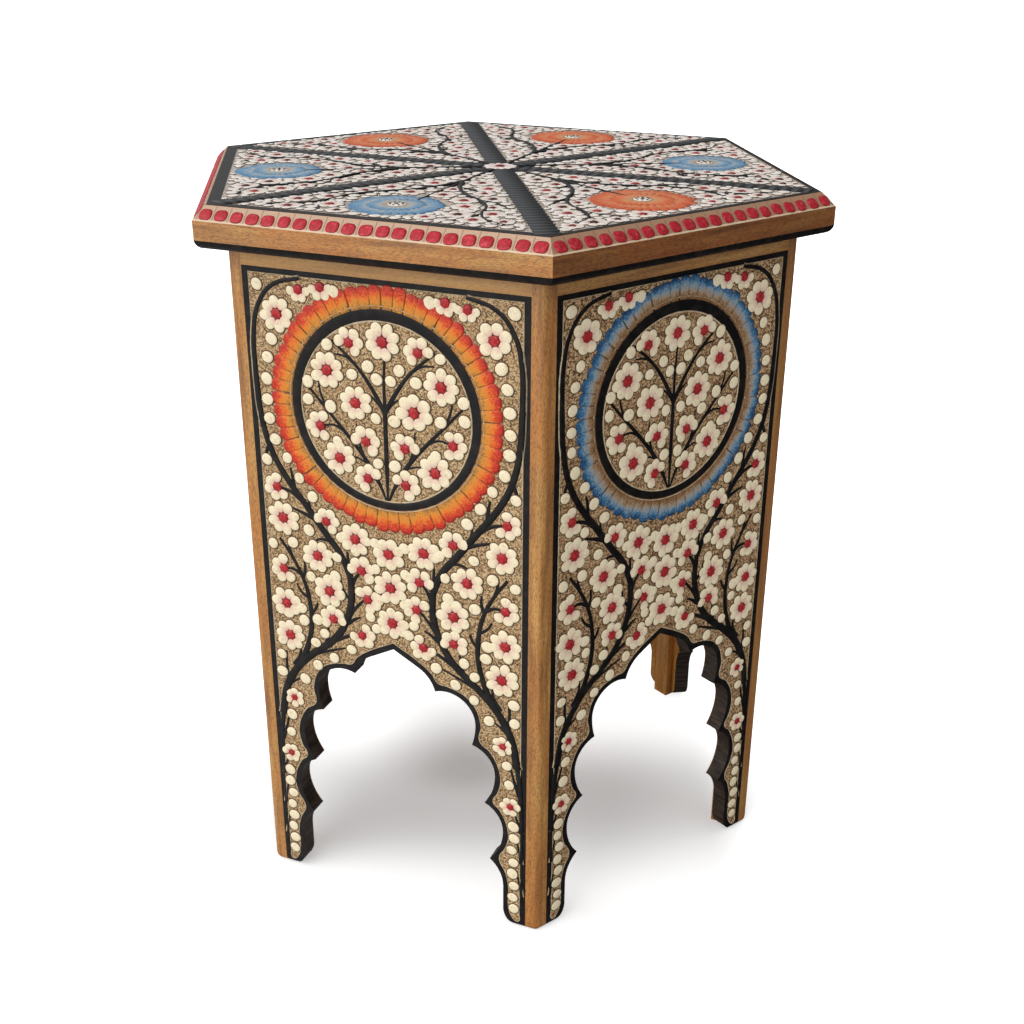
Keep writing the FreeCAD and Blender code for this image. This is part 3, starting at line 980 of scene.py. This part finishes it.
def brush(name, strokes, flatness):
    """Curves with changing radii, turned into a mesh and pressed flat."""
    curve = new_curve(name, "3D", STROKE_SMOOTHNESS)
    curve.bevel_depth = MM
    curve.bevel_resolution = 1
    curve.use_fill_caps = True
    for start, end, line in strokes:
        spline = add_spline(curve, line, lambda x, y: False)
        for index, knot in enumerate(spline.bezier_points):
            knot.radius = start + (end - start) * index / (len(line) - 1)
    drawing = curve_to_mesh(name, curve)
    bpy.ops.object.mode_set(mode="EDIT")
    bpy.ops.mesh.select_all(action="SELECT")
    scale_by(1, 1, flatness)
    bpy.ops.object.mode_set(mode="OBJECT")
    bpy.ops.object.shade_smooth()
    return drawing


stem_edges = [(start + EDGE_AT_START, end + EDGE_AT_END, line) for start, end, line in EDGED_STEMS]
stems_drawing = brush("stems", SIDE_STEMS, flatness=0.25)
stem_edges_drawing = brush("stem_edges", stem_edges, flatness=0.1)
print("stems", len(stems_drawing.data.polygons), "faces")

# %% [markdown]
# ## Blossom
# The places of the flowers are read from the photograph, for the right half of a side, and mirrored. A
# large flower has seven or eight petals, and a half-open one has four to six, on the side away from its
# twig. Single dots are buds, and more of them fill the ground that is left. A lower and slightly larger
# copy of each petal and bud, in brown, shows as a thin line round it. A painter never repeats a flower
# exactly, so each side has its own small changes, from a random source with a fixed seed.

# %% Places of the flowers
LARGE_FLOWERS = [
    (0, 390), (37, 368), (19.5, 350.5), (31, 315), (68.5, 399), (74, 268), (51, 247), (23.5, 262), (0, 257),
    (0, 234.5), (0, 209), (42.5, 223), (75, 209), (74, 186),
]
HALF_FLOWERS = [
    (22, 386.5, 120), (43, 333.5, 0), (12.5, 327.5, 120), (12.5, 304, 40), (53.5, 414, -90), (39, 417, -95),
    (76.5, 289, -20), (42.5, 271, 120), (20, 242, 110), (17, 222.5, 150), (41.5, 203.5, 80),
    (75.5, 233, -20), (21, 197, 230), (74.5, 139, 120), (80, 94.5, 150),
]
BUDS = [
    (36, 384), (10, 374), (4.5, 367), (20.5, 368), (50, 360), (50.5, 349), (35.5, 346.5), (6, 343),
    (5.5, 315), (80.5, 415), (30, 415.5), (73, 383), (76.5, 371.5), (78, 358), (78.5, 345), (78, 333),
    (75, 320), (82, 306), (67.5, 309), (60, 297), (51.5, 286), (82, 249.5), (67.5, 252.5), (55.5, 263),
    (56, 231), (38.5, 234.5), (36.5, 248), (63, 198.5), (48.5, 192), (15, 211), (10, 245), (9, 224),
    (11, 203.5), (64, 207), (33, 262), (55.5, 184), (81.5, 170), (82, 157), (65, 155), (55, 167.5),
    (42.5, 175.5), (29.5, 184.5), (17, 192), (77, 125), (78.5, 111), (81.6, 80), (82.2, 71), (80.4, 61.5),
    (81.8, 52), (81, 43), (82.2, 33.5), (81.4, 24), (82.2, 15), (32, 325), (10, 262.5),
]

# %% Room for more buds
import random

MEDALLION = (0, 347.3)
RING_REACH = 75.4
RING_GAP = 4.2
TREE_REACH = 49.0
BUDS_REACH = 81
BELOW_RING = (199, 300)
IN_RING = (295, 400)
BUD_TRIES = 900
BUD_REACH = 3.7
BUD_GAP = 3.2
BUD_TO_STEM = 4.4
SIDE_LINES = [line for start, end, line in SIDE_STEMS]


def off_line(x, y, line):
    """How far a point is from a stroke."""
    nearest = math.inf
    for (ax, ay), (bx, by) in zip(line, line[1:]):
        share = ((x - ax) * (bx - ax) + (y - ay) * (by - ay)) / ((bx - ax) ** 2 + (by - ay) ** 2)
        share = min(1.0, max(0.0, share))
        nearest = min(nearest, math.hypot(x - ax - share * (bx - ax), y - ay - share * (by - ay)))
    return nearest


def more_buds(dice, taken, in_ring):
    """Places for buds between the arch and the ring, or inside it, wherever the ground is still empty."""
    places = []
    for attempt in range(BUD_TRIES):
        x = dice.uniform(-BUDS_REACH, BUDS_REACH)
        y = dice.uniform(*(IN_RING if in_ring else BELOW_RING))
        from_middle = math.hypot(x - MEDALLION[0], y - MEDALLION[1])
        if from_middle >= TREE_REACH if in_ring else from_middle < RING_REACH + RING_GAP:
            continue
        if any(math.hypot(x - ox, y - oy) < other + BUD_GAP for ox, oy, other in taken):
            continue
        if min(off_line(x, y, line) for line in SIDE_LINES) > BUD_TO_STEM:
            places.append((x, y))
            taken.append((x, y, BUD_REACH))
    return places


# %% Petals of one flower
PETAL_HEIGHT = 0.7
HEART_HEIGHT = 1.05
HEART_SHARE = 0.25
PETAL_FULLNESS = 1.12 * 0.64
FULL_TURN = 2 * math.pi
LINE_SIZE = Matrix.Diagonal((1.11, 1.10, 0.45, 1))


def outlined(placings, foot):
    """Placings a little larger and much lower, for the dark line that shows round every dab."""
    return [where @ Matrix.Translation((0, -foot, 0)) @ LINE_SIZE for where in placings]


def both_sides(places):
    """Places and their mirror images, once for those on the middle line."""
    return places + [(-x, y) for x, y in places if x]


def petals_of(dice, x, y, reach, count, spread, heading):
    """Placings of a flower's petals, spread over an angle about a heading."""
    placings = []
    heart = HEART_SHARE * reach
    for index in range(count):
        share = (index + 0.5) / count - 0.5
        angle = heading + spread * share + dice.uniform(-0.07, 0.07)
        length = (reach - heart) * dice.uniform(0.92, 1.06)
        width = PETAL_FULLNESS * spread * reach / count * dice.uniform(0.95, 1.05)
        foot_x = x + heart * math.cos(angle)
        foot_y = y + heart * math.sin(angle)
        placings.append(placing(foot_x, foot_y, angle - math.pi / 2, width, length, PETAL_HEIGHT))
    return placings


# %% Draw the flowers of one side
LARGE_REACH = (11.2, 12.0)
LARGE_PETALS = (7, 8, 8, 8)
LARGE_HEART = (6.6, 7.2)
LARGE_ROOM = 10.6
HALF_REACH = (9.6, 10.4)
HALF_ROOM = 8.4
BUD_SIZE = (7.0, 8.2)
BUD_STRETCH = 1.08
BUD_ROOM = 3.8
TOP_ROOM = 9
LEG_TOP = 150


def half_flower_shape(y):
    """Petals, spread, share of the size and heart: fewer petals under the top line, smaller on a leg."""
    if y > FIELD_TOP - TOP_ROOM:
        return 4, 3.7, 0.84, 6.2
    if y < LEG_TOP:
        return 6, 6.1, 0.76, 4.8
    return 5, 4.8, 1.0, 6.2


def flower_drawings(petals, hearts, buds):
    """Stamps petals, hearts and buds, each as one drawing."""
    return {
        "petals": stamp("petals", flower_petal, petals),
        "hearts": stamp("hearts", dot_dab, hearts),
        "buds": stamp("buds", dot_dab, buds),
    }


def draw_side_flowers(side):
    """The petals, hearts and buds of one side and their lines, each as one drawing."""
    dice = random.Random(40 + side)
    petals = []
    hearts = []
    buds = []
    taken = []
    for x, y in both_sides(LARGE_FLOWERS):
        x = x + dice.uniform(-0.8, 0.8)
        y = y + dice.uniform(-0.8, 0.8)
        count = dice.choice(LARGE_PETALS)
        petals += petals_of(dice, x, y, dice.uniform(*LARGE_REACH), count, FULL_TURN, dice.uniform(0, 6))
        hearts.append(placing(x, y, dice.uniform(0, 6), *LARGE_HEART, HEART_HEIGHT))
        taken.append((x, y, LARGE_ROOM))
    for x, y, heading in HALF_FLOWERS + [(-x, y, 180 - heading) for x, y, heading in HALF_FLOWERS]:
        x = x + dice.uniform(-0.6, 0.6)
        y = y + dice.uniform(-0.6, 0.6)
        count, spread, size_share, heart = half_flower_shape(y)
        reach = dice.uniform(*HALF_REACH) * size_share
        petals += petals_of(dice, x, y, reach, count, spread, math.radians(heading))
        hearts.append(placing(x, y, math.radians(heading), heart, heart, HEART_HEIGHT))
        taken.append((x, y, HALF_ROOM))
    bud_places = both_sides(BUDS)
    taken += [(x, y, BUD_ROOM) for x, y in bud_places]
    bud_places += more_buds(dice, taken, in_ring=False)
    if side % 2 == 0:
        bud_places += more_buds(dice, taken, in_ring=True)
    for x, y in bud_places:
        size = dice.uniform(*BUD_SIZE)
        buds.append(placing(x, y, dice.uniform(0, 6), size, size * BUD_STRETCH, PETAL_HEIGHT))
    drawings = flower_drawings(petals, hearts, buds)
    drawings["petal_lines"] = stamp("petal_lines", flower_petal, outlined(petals, 0.05))
    drawings["bud_lines"] = stamp("bud_lines", dot_dab, outlined(buds, 0.0))
    return drawings


# %% Set everything so far on the six sides
SIDE_PAINTS = {
    "field_line": pale_line, "stem_edges": pale_line, "stems": line_black, "petals": petal_cream,
    "hearts": heart_red, "buds": petal_cream, "petal_lines": outline_brown, "bud_lines": outline_brown,
}
same_on_all = {
    "field": field_drawing, "field_line": field_line_drawing,
    "stem_edges": stem_edges_drawing, "stems": stems_drawing,
}

for side in SIDES:
    flowers = draw_side_flowers(side)
    paints = {"field": stippled_warm if side % 2 else stippled_cool, **SIDE_PAINTS}
    set_all({**same_on_all, **flowers}, f"side_{side}", side_matrix(side), paints)
    clear_board(*flowers.values())
clear_board(*same_on_all.values())
print("blossom on six sides")

# %% [markdown]
# ## Medallions
# Each side has a round medallion: a black ring between two pale lines, and outside it a ring of close
# petals that run from yellow to red, or from tan to blue. The black ring and the lines start as a torus
# that is pressed flat. The hole of the black ring sits a little lower than its outside, as on the stool.
# One petal is modelled and stamped all round.

# %% Black ring and pale lines
RING_UP = 348.1
HOLE_UP = 346.5
BLACK_RING_MIDDLE = 58.7


def flat_ring(name, up, middle, half_width, height):
    """A torus at a height on the board, pressed flat, in millimetres."""
    bpy.ops.object.select_all(action="DESELECT")
    bpy.ops.mesh.primitive_torus_add(
        major_radius=middle * MM, minor_radius=half_width * MM, major_segments=96, minor_segments=8,
        location=(0, up * MM, 0),
    )
    start_piece(name)
    scale_by(1, 1, height / half_width)
    bpy.ops.object.mode_set(mode="OBJECT")
    bpy.ops.object.transform_apply(location=True)
    bpy.ops.object.shade_smooth()
    return bpy.context.object


black_ring = flat_ring("black_ring", RING_UP, BLACK_RING_MIDDLE, half_width=3.9, height=0.55)
bpy.ops.object.mode_set(mode="EDIT")
pick(lambda place: math.hypot(place.x, place.y - RING_UP * MM) < (BLACK_RING_MIDDLE - 0.1) * MM)
bpy.ops.transform.translate(value=(0, (HOLE_UP - RING_UP) * MM, 0))
bpy.ops.object.mode_set(mode="OBJECT")
inner_line = flat_ring("inner_line", HOLE_UP, middle=54.9, half_width=0.5, height=0.5)
outer_line = flat_ring("outer_line", RING_UP, middle=62.3, half_width=0.5, height=0.6)
print("rings", len(black_ring.data.polygons), "faces")

# %% A ring petal
TONGUE_LENGTH = 1.8
TONGUE_FOOT = 0.81


def side_share(place):
    """1 on the long sides of a tongue, 0 along its middle and at its tip."""
    half_width = (TONGUE_FOOT + (1 - TONGUE_FOOT) * place.y) / 2
    return 0.0 if place.y > 0.9 else min(1.0, abs(place.x) / half_width)


def ring_petal_dab(name):
    """A tongue 1 wide and 1 long, narrowed to fit the ring at its foot, with a low, rounded tip."""
    bpy.ops.object.select_all(action="DESELECT")
    bpy.ops.mesh.primitive_plane_add(size=1.0, location=(0, 0.5, 0))
    bpy.ops.object.transform_apply(location=True)
    start_piece(name)
    scale_by(1, TONGUE_LENGTH, 1)
    pick(lambda place: place.y > TONGUE_LENGTH - 0.1)
    bpy.ops.mesh.bevel(offset=0.4, offset_type="OFFSET", segments=3, affect="VERTICES")
    bpy.ops.mesh.select_all(action="SELECT")
    scale_by(1, 1 / TONGUE_LENGTH, 1)
    pick(lambda place: place.y < 0.1)
    scale_by(TONGUE_FOOT, 1, 1)
    bpy.ops.mesh.select_all(action="SELECT")
    raise_dab(shoulder=0.6, inset=0.1, crown=0.94)
    tongue = close_piece()
    note(tongue, "across", side_share)
    note(tongue, "along", lambda place: place.y)
    return tongue


ring_petal = ring_petal_dab("ring_petal")
print("ring petal with", len(ring_petal.data.polygons), "faces")


# %% A ring of petals
def around(dab, name, dice, middle, foot, tip, count, width, height):
    """Stamps petals in a ring about a middle, their feet inwards."""
    placings = []
    for index in range(count):
        angle = FULL_TURN * (index + dice.uniform(-0.05, 0.05)) / count
        foot_x = middle[0] + foot * math.cos(angle)
        foot_y = middle[1] + foot * math.sin(angle)
        length = (tip - foot) * dice.uniform(0.92, 1.06)
        placings.append(placing(foot_x, foot_y, angle - math.pi / 2, width, length, height))
    return stamp(name, dab, placings)


ring_drawing = around(
    ring_petal, "ring_petals", random.Random(7), MEDALLION, foot=60.5, tip=RING_REACH,
    count=58, width=8.15, height=0.6,
)
print("ring petals", len(ring_drawing.data.polygons), "faces")

# %% Their colours
PETAL_LINE = colour(92, 58, 36)
STREAKS = ((170.0, 0.5), (1000.0, 0.8))


def petal_ring_finish(name, *stops):
    """A colour that changes along the petal, with dark lines between the feet and brushed streaks."""
    finish = new_finish(name, roughness=0.5)
    place = object_place()
    along = stored("along")
    for scale, strength in STREAKS:
        streaks = reckon("SUBTRACT", noise(place, scale), 0.5)
        along = reckon("MULTIPLY_ADD", streaks, strength, along)
    tone = ramp(along, *stops)
    near_foot = reckon("SUBTRACT", 1.0, fade(along, 0.55, 0.9))
    broken = fade(noise(place, 220.0), 0.3, 0.6)
    line_share = reckon("MULTIPLY", fade(stored("across"), 0.8, 1.0), near_foot)
    line_share = reckon("MULTIPLY", line_share, reckon("MULTIPLY", broken, 0.95))
    give("Base Color", mix(line_share, tone, PETAL_LINE))
    return finish


warm_ring = petal_ring_finish(
    "warm_ring", (0.08, colour(160, 112, 54)), (0.30, colour(222, 146, 50)), (0.50, colour(234, 124, 38)),
    (0.72, colour(216, 66, 28)), (0.95, colour(184, 36, 26)),
)
cool_ring = petal_ring_finish(
    "cool_ring", (0.10, colour(132, 92, 54)), (0.28, colour(160, 122, 82)), (0.44, colour(176, 160, 142)),
    (0.60, colour(128, 160, 180)), (0.78, colour(52, 110, 154)), (1.0, colour(20, 62, 102)),
)

RING_PAINTS = {"black_ring": line_black, "inner_line": pale_line, "outer_line": pale_line}
rings = {
    "ring_petals": ring_drawing, "black_ring": black_ring,
    "inner_line": inner_line, "outer_line": outer_line,
}
for side in SIDES:
    paints = {"ring_petals": warm_ring if side % 2 else cool_ring, **RING_PAINTS}
    set_all(rings, f"side_{side}", side_matrix(side), paints)
clear_board(*rings.values())
print("medallions on six sides")

# %% [markdown]
# ## Seat top
# The seat is divided by six ribbed black bands from the middle to the corners, inside a black border.
# The border is wider on one edge than on the one across from it, so its inner hexagon is drawn a little
# off the middle. Each sector has a rosette of fine petals, blue or orange, a forked stem that curls
# round it, and white blossom in all the room that is left. A small white rosette covers the middle.

# %% Border
BORDER_OUT = 179.6
BORDER_WIDTH = 5.0
BORDER_DRIFT = 2.0
DRIFT_SIDE = 3
BORDER_HEIGHT = 0.3
HALF_SECTOR = math.radians(30)
BORDER_CORNER = BORDER_OUT / math.cos(HALF_SECTOR)

bpy.ops.object.select_all(action="DESELECT")
bpy.ops.mesh.primitive_circle_add(
    vertices=6, radius=BORDER_CORNER * MM, fill_type="NGON", rotation=(0, 0, HALF_SECTOR),
)
bpy.ops.object.transform_apply(rotation=True)
start_piece("border_drawing")
bpy.ops.mesh.inset(thickness=BORDER_WIDTH * MM)
bpy.ops.transform.translate(value=outwards_of(DRIFT_SIDE) * BORDER_DRIFT * MM)
bpy.ops.mesh.delete(type="FACE")
bpy.ops.mesh.select_all(action="SELECT")
bpy.ops.mesh.extrude_region_move(TRANSFORM_OT_translate={"value": (0, 0, BORDER_HEIGHT * MM)})
bpy.ops.mesh.select_all(action="SELECT")
bpy.ops.mesh.normals_make_consistent(inside=False)
bpy.ops.object.mode_set(mode="OBJECT")
border_drawing = bpy.context.object
border_reach = max(math.hypot(point.co.x, point.co.y) for point in border_drawing.data.vertices)
print("border corners at", round(border_reach, 4), "m")
set_on(border_drawing, "seat_border", ON_SEAT, line_black)
clear_board(border_drawing)

# %% Ribbed bands
BAND_WIDTH = 13.0
BAND_START = 6.0
BAND_END = BORDER_CORNER - 4.4
BAND_LENGTH = BAND_END - BAND_START
BAND_LIFT = 0.2
BAND_DEPTH = 0.7
RIBS = 28
RIB_STEP = BAND_LENGTH / (2 * RIBS)
RIB_HEIGHT = 0.35
RIB_BULGE = 1.14
RIB_LEVEL = 0.4

bpy.ops.object.select_all(action="DESELECT")
bpy.ops.mesh.primitive_grid_add(x_subdivisions=2, y_subdivisions=2 * RIBS, size=1.0)
start_piece("band_drawing")
scale_by(BAND_WIDTH * MM, BAND_LENGTH * MM, 1)
bpy.ops.transform.translate(value=(0, (BAND_START + BAND_LENGTH / 2) * MM, BAND_LIFT * MM))
pick(lambda place: round((place.y / MM - BAND_START) / RIB_STEP) % 2 == 1)
bpy.ops.transform.translate(value=(0, 0, RIB_HEIGHT * MM))
scale_by(RIB_BULGE, 1, 1)
bpy.ops.mesh.select_all(action="DESELECT")
bpy.ops.mesh.select_non_manifold()
bpy.ops.mesh.extrude_region_move(TRANSFORM_OT_translate={"value": (0, 0, -BAND_DEPTH * MM)})
band_drawing = close_piece()
note(band_drawing, "edge", lambda place: 1.0 if place.z > RIB_LEVEL * MM else 0.0)
print("band", len(band_drawing.data.polygons), "faces")

# %% Paint and lay the bands
RIB_GREY = colour(72, 75, 78)

ribbed_black = new_finish("ribbed_black", roughness=0.5, gloss=0.4)
rib_tone = mottled(240.0, 5.0, (0.35, colour(12, 13, 16)), (0.7, colour(30, 31, 32)))
rib_top = fade(stored("edge"), 0.35, 0.75)
give("Base Color", mix(rib_top, rib_tone, RIB_GREY))
to_corner = Matrix.Rotation(HALF_SECTOR, 4, "Z")
for side in SIDES:
    set_on(band_drawing, f"seat_band_{side}", seat_matrix(side) @ to_corner, ribbed_black)
clear_board(band_drawing)
print("bands laid to six corners")

# %% Rosettes
ROSETTES = {
    1: (5.0, 138.0, 27.5), 2: (0.0, 136.0, 31.0), 3: (0.0, 136.0, 28.0),
    4: (0.0, 136.0, 31.0), 5: (0.0, 136.0, 31.0), 6: (0.8, 141.5, 27.5),
}
WARM_SECTORS = (2, 4, 5)
EYES = 8
EYE_RING = 3.9

rosette_warm = petal_ring_finish(
    "rosette_warm", (0.0, colour(206, 158, 104)), (0.35, colour(226, 146, 94)),
    (0.65, colour(226, 112, 60)), (1.0, colour(196, 80, 44)),
)
rosette_cool = petal_ring_finish(
    "rosette_cool", (0.0, colour(176, 142, 108)), (0.35, colour(188, 186, 178)),
    (0.60, colour(128, 168, 196)), (1.0, colour(74, 126, 168)),
)


def set_rosette(side):
    """Two rows of fine petals round a white heart with dark eyes, on one sector."""
    x, y, reach = ROSETTES[side]
    dice = random.Random(10 + side)
    eyes = [placing(x, y, 0, 3.0, 3.0, 1.5)]
    for index in range(EYES):
        angle = FULL_TURN * index / EYES
        eye_x = x + EYE_RING * math.cos(angle)
        eye_y = y + EYE_RING * math.sin(angle)
        eyes.append(placing(eye_x, eye_y, 0, 1.6, 1.6, 1.4))
    drawings = {
        "outer": around(
            ring_petal, "outer_petals", dice, (x, y), foot=0.39 * reach, tip=reach,
            count=34, width=5.2, height=0.5,
        ),
        "inner": around(
            ring_petal, "inner_petals", dice, (x, y), foot=0.16 * reach, tip=0.65 * reach,
            count=26, width=3.6, height=0.75,
        ),
        "heart": stamp("rosette_heart", dot_dab, [placing(x, y, 0, 12, 12, 1.1)]),
        "eyes": stamp("rosette_eyes", dot_dab, eyes),
    }
    finish = rosette_warm if side in WARM_SECTORS else rosette_cool
    paints = {"outer": finish, "inner": finish, "heart": petal_white, "eyes": line_black}
    set_all(drawings, f"seat_{side}_rosette", seat_matrix(side), paints)
    clear_board(*drawings.values())


for side in SIDES:
    set_rosette(side)
print("rosettes on the seat")

# %% Stems of the seat
SEAT_TRUNK = [(1.9, 1.6, [(0, 12), (0, 36), (0, 60)]), (1.5, 1.2, [(0, 60), (0, 84), (0, 128)])]
SEAT_STROKES = [
    (2.0, 1.2, [(0, 59), (7, 78), (18, 95), (33, 108), (44, 124), (49, 142), (58, 156), (74, 164)]),
    (1.4, 0.8, [(49, 142), (46, 154), (40, 165)]),
    (1.4, 0.8, [(33, 108), (46, 112), (58, 124)]),
    (1.3, 0.8, [(7, 78), (17, 80), (24, 86)]),
]
SEAT_STEMS = mirrored(SEAT_STROKES) + SEAT_TRUNK
seat_stems = brush("seat_stems", SEAT_STEMS, flatness=0.65)
print("seat stems", len(seat_stems.data.polygons), "faces")

# %% Find room for the seat's blossom
CLOSENESS = 0.9
SEAT_GAP = 0.2
CLEAR_MIDDLE = 14
SEAT_LINES = [line for start, end, line in SEAT_STEMS]


def room_for(x, y, reach, side, taken, stem_gap):
    """Whether a flower clears the bands, the border, the rosette, the stems and other flowers."""
    off_band = (y * math.tan(HALF_SECTOR) - abs(x)) * math.cos(HALF_SECTOR) - BAND_WIDTH / 2
    drift = BORDER_DRIFT * math.cos(side_angle(side) - side_angle(DRIFT_SIDE))
    border_foot = BORDER_OUT - BORDER_WIDTH + drift
    if off_band < reach + SEAT_GAP or y + reach > border_foot - SEAT_GAP or y < CLEAR_MIDDLE:
        return False
    rosette_x, rosette_y, rosette_reach = ROSETTES[side]
    if math.hypot(x - rosette_x, y - rosette_y) < rosette_reach + reach + SEAT_GAP:
        return False
    if min(off_line(x, y, line) for line in SEAT_LINES) < stem_gap:
        return False
    return all(math.hypot(x - ox, y - oy) > CLOSENESS * (reach + other) for ox, oy, other in taken)


# %% Draw the flowers of one sector
# For each size: how far its petals reach, how often a place is tried and how far it stays off a stem.
SEAT_SIZES = ((9.2, 1400, 5.2), (7.2, 2400, 4.0), (3.6, 3600, 3.2), (2.6, 3600, 2.6), (1.9, 3000, 2.3))
SEVEN_PETALS = 8
SIX_PETALS = 5
SECTOR_HALF = 95
SECTOR_HEIGHTS = (12, 174)


def draw_seat_flowers(side):
    """Fills a sector with flowers, from large to small, wherever there is room."""
    dice = random.Random(80 + side)
    taken = []
    for reach, tries, stem_gap in SEAT_SIZES:
        for attempt in range(tries):
            x = dice.uniform(-SECTOR_HALF, SECTOR_HALF)
            y = dice.uniform(*SECTOR_HEIGHTS)
            if room_for(x, y, reach, side, taken, stem_gap):
                taken.append((x, y, reach))
    petals = []
    hearts = []
    buds = []
    for x, y, reach in taken:
        if reach > SIX_PETALS:
            count = 7 if reach > SEVEN_PETALS else 6
            petals += petals_of(dice, x, y, reach, count, FULL_TURN, dice.uniform(0, 6))
            hearts.append(placing(x, y, 0, 0.5 * reach, 0.5 * reach, HEART_HEIGHT))
        else:
            buds.append(placing(x, y, dice.uniform(0, 6), 2 * reach, 2.2 * reach, PETAL_HEIGHT))
    print("sector", side, "has", len(hearts), "flowers and", len(buds), "buds")
    return flower_drawings(petals, hearts, buds)


# %% Paint the six sectors
seat_heart = mottled_finish(
    "seat_heart", 0.5, 0.45, 60.0, 2.0, (0.4, colour(60, 28, 26)), (0.6, colour(168, 40, 42)),
)
SEAT_PAINTS = {"stems": line_black, "petals": petal_white, "hearts": seat_heart, "buds": petal_white}

for side in SIDES:
    flowers = draw_seat_flowers(side)
    drawings = {"stems": seat_stems, **flowers}
    set_all(drawings, f"seat_{side}", seat_matrix(side), SEAT_PAINTS)
    clear_board(*flowers.values())
clear_board(seat_stems)

# %% The rosette in the middle
middle = {
    "petals": around(
        flower_petal, "middle_petals", random.Random(3), (0, 0), foot=3.0, tip=11.5,
        count=12, width=4.6, height=1.0,
    ),
    "base": stamp("middle_base", dot_dab, [placing(0, 0, 0, 20, 20, 0.8)]),
    "heart": stamp("middle_heart", dot_dab, [placing(0, 0, 0, 7, 7, 1.4)]),
}
paints = {"petals": petal_white, "base": petal_white, "heart": seat_heart}
set_all(middle, "seat_middle", ON_SEAT, paints)
clear_board(*middle.values())
print("seat painted")

# %% [markdown]
# ## Red dots on the rim
# A row of red dots, each almost a square with round corners, runs along the sloping band of the rim. One
# dot starts as a square whose corners are bevelled, is domed, and is stamped along each side.

# %% A rim dot
bpy.ops.object.select_all(action="DESELECT")
bpy.ops.mesh.primitive_plane_add(size=1.0)
start_piece("rim_dab")
bpy.ops.mesh.bevel(offset=0.34, offset_type="OFFSET", segments=3, affect="VERTICES")
bpy.ops.mesh.select_all(action="SELECT")
raise_dab(shoulder=0.45, inset=0.16, crown=0.92)
rim_dab = close_piece()
note(rim_dab, "edge", edge_share)
print("rim dot with", len(rim_dab.data.polygons), "faces")

# %% The sloping band and its red
SLOPE = math.radians(45)
SLOPE_REACH = 0.1841
SLOPE_HEIGHT = 0.4561


def slope_matrix(side):
    """Takes the drawing board to the sloping band of the rim, its y up the slope."""
    outwards = outwards_of(side)
    up_slope = UPWARDS * math.sin(SLOPE) - outwards * math.cos(SLOPE)
    off_slope = outwards * math.sin(SLOPE) + UPWARDS * math.cos(SLOPE)
    return board_matrix(side, up_slope, off_slope, outwards * SLOPE_REACH + UPWARDS * SLOPE_HEIGHT)


rim_red = red_finish(
    "rim_red", 0.45, 520.0, 4.0, colour(140, 26, 36), 0.85,
    (0.35, colour(164, 16, 32)), (0.55, colour(190, 30, 46)), (0.75, colour(216, 82, 90)),
)
print("rim red mixed")

# %% Place the dots along the slope
DOTS_PER_SIDE = 21
DOT_UP = -0.8
DOT_WIDTH = (7.5, 8.3)
DOT_LENGTH = 7.2
DOT_HEIGHT = 0.5

dice = random.Random(21)
for side in SIDES:
    dots = []
    for index in range(DOTS_PER_SIDE):
        along = (index - (DOTS_PER_SIDE - 1) / 2) * DOT_STEP / MM + dice.uniform(-0.3, 0.3)
        up = DOT_UP + dice.uniform(-0.3, 0.3)
        width = dice.uniform(*DOT_WIDTH)
        dots.append(placing(along, up, dice.uniform(-0.12, 0.12), width, DOT_LENGTH, DOT_HEIGHT))
    rim_dots = stamp("rim_dots", rim_dab, dots)
    set_on(rim_dots, f"rim_{side}_dots", slope_matrix(side), rim_red)
    clear_board(rim_dots)
clear_board(dot_dab, flower_petal, ring_petal, rim_dab)
print("red dots on the rim")

# %% [markdown]
# ## Size
# The paint stands at most 1.5 mm proud, so the stool stays nearly as large as its joinery.

bpy.context.view_layer.update()
